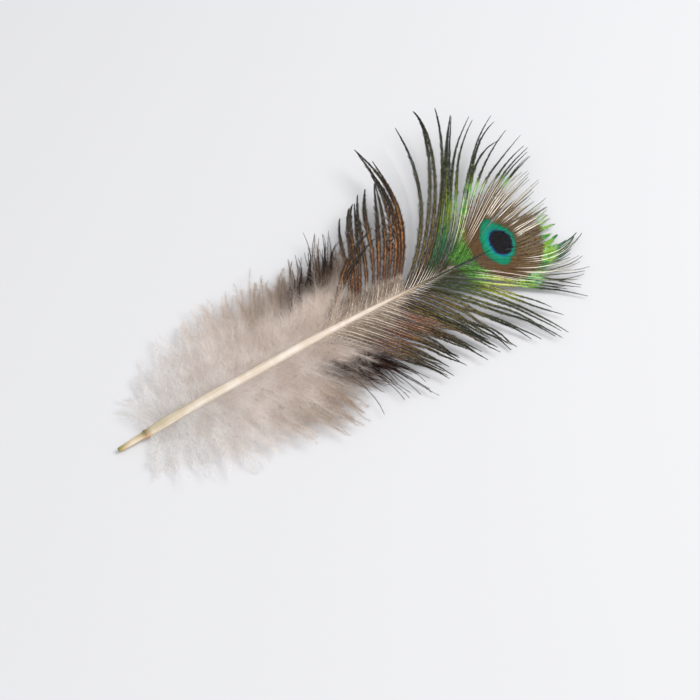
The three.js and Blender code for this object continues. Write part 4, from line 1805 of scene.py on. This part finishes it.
@dataclass(frozen=True)
class Eye:
    """The eye: barbs that fan round the shaft's end, their fibres closed into one surface."""

    left: tuple[Guide, ...]
    right: tuple[Guide, ...]
    barbs: int = 28  # on each side
    widest_closed: float = 1.5  # mm: barbs further apart than this stay open
    parting_root: float = 107.0  # barbs beyond this place show fewer pale ribs
    fewer: float = 0.75  # how many, as a share of the others
    curl_root: float = 110.8  # about where the bundle that curls up is rooted on the right
    curl_reach: float = 1.5  # mm to each side of there

    TURNS = (-180, -70, -60, 5, 12, 45, 55, 90, 180)  # degrees round the eye's middle
    EDGES = (3.0, 3.2, 3.9, 3.9, 2.7, 2.6, 2.45, 2.4, 2.6)  # ring where the barbs part there
    EDGE_VARIES, STEP_VARIES = 0.12, 0.06  # how far the parting is ragged, barb by barb and along
    PARTS_OVER = 0.45  # of a ring
    OPENS_OVER = 1.3  # barbs this many times the widest closed gap apart are fully parted
    SHAFT_SHARES = (0.4, 0.25)  # nearer the shaft than this the fibres always close up
    OVERLAP = 0.55  # how far a closed barb's fibres reach, as a share of the gap between barbs
    SHORTEST, LONGEST = 0.3, 1.5  # mm: closed fibres
    CURL_LENGTH, OPEN_LENGTH = 0.6, 0.31  # mm: fibres of the curled bundle, and of parted barbs
    PALE_SHARES = (0.3, 0.45)  # where along a barb its rib comes to show
    PALE_RINGS, FADING_RINGS = (2.05, 2.3), (4.3, 5.0)  # and in which rings it shows and fades
    COVERED, FADED = 0.15, 0.7  # how pale the other ribs are, and how far all fade
    LEFT_PALE, RIGHT_PALE = 0.7, 0.35  # the share of each side's ribs that show
    SINGLE = Habit(
        wave=0.2, pile=0.1, shortest=0.84, bunch=(1, 2), closing=0.3, parting=0.6, spread=0.5,
        layer=0.1, thinning=0.78,
    )
    BUNCHED = Habit(
        wave=0.25, pile=0.15, shortest=0.78, bunch=(2, 4), closing=0.75, parting=0.5, spread=0.7,
        layer=0.12,
    )
    RIB = Rib(Profile((0, 0.3, 0.6, 1), (0.04, 0.05, 0.065, 0.03)), swell=0.7)
    FIBRES = Fibres(
        spacing=0.11, width=0.13, angle=38, roof=0.16, stray=0.07, curl=0.1, rough=0.1,
        length=Profile((0, 0.05, 0.8, 1), (0.8, 1.0, 1.0, 0.3)), ragged=0.16,
    )

    def _closed(self, comb: Comb, ring: np.ndarray, rng: np.random.Generator) -> np.ndarray:
        """Where the fibres close up with those of the next barb.

        Args:
            comb: The barbs.
            ring: The ring number of each step of each barb.
            rng: The source of irregularities.

        Returns:
            An array of barbs by steps, from 0 where they are parted to 1.
        """
        step = np.minimum((ring < 3).sum(1), comb.STEPS - 1)
        place = comb.curves[np.arange(comb.count), step, :2] - EYE_CENTRE
        turn = np.degrees(np.arctan2(place[:, 1], place[:, 0]))
        edge = np.interp(turn, self.TURNS, self.EDGES)
        edge = edge + rng.normal(0, self.EDGE_VARIES, comb.count)
        past = ring - edge[:, None] - rng.normal(0, self.STEP_VARIES, ring.shape)
        closed = 1 - smoothstep(0, self.PARTS_OVER, past)
        open_from = self.widest_closed * self.OPENS_OVER
        closed *= smoothstep(open_from, self.widest_closed, comb.spacing())
        return np.maximum(closed, smoothstep(*self.SHAFT_SHARES, comb.share)[None, :])

    def _paleness(
        self, comb: Comb, ring: np.ndarray, chance: float, rng: np.random.Generator
    ) -> np.ndarray:
        """How pale the ribs are: many show as fine lines outside the teal ring.

        Args:
            comb: The barbs.
            ring: The ring number of each step of each barb.
            chance: The share of the ribs that show.
            rng: Picks them.

        Returns:
            An array of barbs by steps, from 0 to 1.
        """
        beyond = smoothstep(*self.PALE_SHARES, comb.share)[None, :]
        chances = np.where(comb.roots > self.parting_root, chance * self.fewer, chance)
        bare = np.where(rng.uniform(0, 1, comb.count) < chances, 1.0, self.COVERED)[:, None]
        fading = 1 - self.FADED * smoothstep(*self.FADING_RINGS, ring)
        return smoothstep(*self.PALE_RINGS, ring) * beyond * fading * bare

    def _add_side(
        self, mesh: FibreMesh, comb: Comb, strip: int, chance: float, rng: np.random.Generator
    ) -> None:
        """Adds the barbs of one side.

        Args:
            mesh: The mesh that takes them.
            comb: The barbs.
            strip: The first of their strips of the map.
            chance: The share of the ribs that show pale.
            rng: The source of irregularities.
        """
        ring = ring_number(comb.curves[..., :2])
        pale = self._paleness(comb, ring, chance, rng)
        closed = self._closed(comb, ring, rng)
        slant = math.sin(math.radians(self.FIBRES.angle))
        needed = comb.spacing() * self.OVERLAP / slant
        needed = np.clip(needed, self.SHORTEST, self.LONGEST)
        near_curl = np.abs(comb.roots - self.curl_root) < self.curl_reach
        curls = (comb.side is Side.RIGHT) & near_curl
        loose = np.where(curls, self.CURL_LENGTH, self.OPEN_LENGTH)[:, None]
        length = needed * closed + loose * (1 - closed)
        dress = Dress(coat=np.ones_like(ring), accent=np.zeros_like(ring), rib=pale, stretch=length)
        self.RIB.add_to(mesh, comb, dress, strip)
        self.FIBRES.add_to(mesh, comb, dress, rng, strip)

    def build(
        self, origin: np.ndarray, material: bpy.types.Material, rng: np.random.Generator
    ) -> bpy.types.Object:
        """Makes the eye.

        Args:
            origin: Where the quill's tip is, in metres.
            material: Its finish.
            rng: The source of irregularities.

        Returns:
            The object.
        """
        mesh = FibreMesh("eye_barbs", 2 * self.barbs)
        left = Comb(Side.LEFT, self.left, self.SINGLE, rng, self.barbs)
        self._add_side(mesh, left, 0, self.LEFT_PALE, rng)
        right = Comb(Side.RIGHT, self.right, self.BUNCHED, rng, self.barbs)
        self._add_side(mesh, right, self.barbs, self.RIGHT_PALE, rng)
        return mesh.build(origin, material)


# ------------------------------------------------------------------------ the studio
@dataclass(frozen=True)
class FloorFinish:
    """Studio floor: matt paper, rolled. It gives the eye a plain pale ground, barely mottled."""

    roughness: float = 0.7
    specular: float = 0.2
    mottling: float = 3.0  # soft blotches across the floor

    def material(self) -> bpy.types.Material:
        """Builds the material.

        Returns:
            The material.
        """
        f = Finish("studio floor")
        mottled = f.add(Kind.NOISE, named={"Scale": self.mottling, "Detail": 2.0})
        colour = f.add(Kind.MIX, mottled, "#cbccce", "#d0d0d2")
        matt = {"Roughness": self.roughness, "Specular IOR Level": self.specular}
        return f.finish(f.add(Kind.SURFACE, colour, named=matt))


@dataclass(frozen=True)
class Lamp:
    """A soft square lamp that faces the feather."""

    name: str
    place: tuple[float, float, float]  # metres
    size: float  # metres
    power: float  # watts


@dataclass(frozen=True)
class Studio:
    """A pale floor, soft light and the camera."""

    azimuth: float = -33.163  # degrees
    elevation: float = 55.0
    distance: float = 438.635  # mm
    target: tuple[float, float, float] = (66.561, -5.609, 0.0)  # feather millimetres
    lens: float = 85.0  # mm
    sensor: float = 36.0  # mm
    nearest: float = 0.01  # metres: what is closer to the camera than this isn't drawn
    floor_size: float = 6.0  # metres
    surround: float = 0.74  # strength of the light from all round
    lamps: tuple[Lamp, ...] = (
        Lamp("key", (0.5, -0.2, 0.7), 0.45, 5.6),
        Lamp("fill", (-0.6, -0.3, 0.6), 0.6, 2.2),
    )

    def build(self, origin: np.ndarray) -> None:
        """Makes the floor, the lights and the camera.

        Args:
            origin: Where the quill's tip is, in metres.
        """
        scene = bpy.context.scene
        scene.view_settings.view_transform = "Standard"
        self._floor()
        self._lights()
        a, e = math.radians(self.azimuth), math.radians(self.elevation)
        back = Vector((math.sin(a) * math.cos(e), -math.cos(a) * math.cos(e), math.sin(e)))
        target = Vector(np.array(self.target) * MM + origin)
        data = bpy.data.cameras.new("camera")
        data.lens = self.lens
        data.sensor_width = self.sensor
        data.clip_start = self.nearest
        camera = bpy.data.objects.new("camera", data)
        camera.location = target + back * self.distance * MM
        camera.rotation_euler = back.to_track_quat("Z", "Y").to_euler()
        scene.collection.objects.link(camera)
        scene.camera = camera

    def _floor(self) -> None:
        """Makes the pale floor."""
        half = self.floor_size / 2
        mesh = bpy.data.meshes.new("floor")
        corners = [(-half, -half, 0), (half, -half, 0), (half, half, 0), (-half, half, 0)]
        mesh.from_pydata(corners, [], [(0, 1, 2, 3)])
        mesh.materials.append(FloorFinish().material())
        floor = bpy.data.objects.new("floor", mesh)
        bpy.context.scene.collection.objects.link(floor)

    def _lights(self) -> None:
        """Makes a white surround and the soft lamps."""
        world = bpy.data.worlds.new("surround")
        world.use_nodes = True
        background = world.node_tree.nodes["Background"]
        background.inputs["Color"].default_value = linear("#fcfbfc")
        background.inputs["Strength"].default_value = self.surround
        bpy.context.scene.world = world
        for lamp in self.lamps:
            data = bpy.data.lights.new(lamp.name, "AREA")
            data.energy = lamp.power
            data.size = lamp.size
            placed = bpy.data.objects.new(lamp.name, data)
            placed.location = lamp.place
            placed.rotation_euler = Vector(lamp.place).to_track_quat("Z", "Y").to_euler()
            bpy.context.scene.collection.objects.link(placed)


def place_piece(piece: bpy.types.Object, node: str) -> None:
    """Rides a piece on the feather's body in place of its solid.

    Args:
        piece: The piece.
        node: The CAD node that it stands for.
    """
    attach(piece, BODY)
    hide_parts(node)


def quill_tip() -> np.ndarray:
    """Where the quill's tip is on the surface, in metres, from the shaft's solid."""
    low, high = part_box("shaft")
    return np.array([low.x, (low.y + high.y) / 2, 0.0])


def main() -> None:
    """Builds the feather and its studio."""
    rng = np.random.default_rng(SEED)
    origin = quill_tip()
    Studio().build(origin)

    down_finish = DownFinish().material()
    vane_finish = VaneFinish().material()
    left_down = Down(
        Side.LEFT,
        LEFT_DOWN,
        taupe=Tint((22, 42), (0.4, 0.95)),
        tufts=Tint((46, 52), (0.44, 0.7), end=62),
    )
    right_down = Down(
        Side.RIGHT,
        RIGHT_DOWN,
        taupe=Tint((24, 40), (0.6, 0.95)),
        tufts=Tint((48.5, 54), (0.4, 0.6)),
        strays=RIGHT_STRAYS,
        speck=SPECK,
    )
    left_strands = Strands(
        Side.LEFT,
        LEFT_STRANDS,
        LEFT_FUZZ,
        Habit(wave=0.1, pile=0.12, shortest=0.985),
        downy=Profile((62, 75, 84, 86.2, 87.4, 90, 104), (8.5, 6.5, 4.5, 3.5, 1.2, 0.5, 0.3)),
        base_width=Profile((62, 86, 92, 98, 104), (0.7, 0.85, 1.0, 1.0, 0.9)),
        full_width=Profile((62, 86, 92, 98, 104), (1.0, 1.1, 0.85, 0.72, 0.65)),
        showing=Profile((62, 84, 86.5, 88, 94, 97, 100, 104), (0.5, 0.5, 1, 5, 3.5, 1.6, 0.4, 0.2)),
    )
    right_strands = Strands(
        Side.RIGHT,
        RIGHT_STRANDS,
        RIGHT_FUZZ,
        Habit(
            wave=0.35, pile=0.3, shortest=0.8, bunch=(2, 5), closing=0.8, parting=0.12,
            spread=1.8, layer=0.3,
        ),
        downy=Profile((62, 75, 84, 88, 92, 96, 104), (9, 6.5, 2.6, 1.2, 0.5, 0.4, 0.3)),
        base_width=Profile((62, 84, 92, 98, 104), (0.7, 1.15, 1.2, 1.2, 1.1)),
        full_width=Profile((62, 84, 92, 98, 104), (0.72, 0.76, 0.74, 0.7, 0.62)),
        showing=Profile((62, 84, 92, 96, 100, 104), (2, 2, 2, 1.2, 0.4, 0.2)),
        barbs=40,
    )

    place_piece(Shaft().build(origin, ShaftKeratin().material()), "shaft")
    place_piece(left_down.build(origin, down_finish, rng), "left_down")
    place_piece(right_down.build(origin, down_finish, rng), "right_down")
    place_piece(left_strands.build(origin, vane_finish, rng), "left_strands")
    place_piece(right_strands.build(origin, vane_finish, rng), "right_strands")
    place_piece(Eye(LEFT_EYE, RIGHT_EYE).build(origin, vane_finish, rng), "eye")


if __name__ == "__main__":
    main()
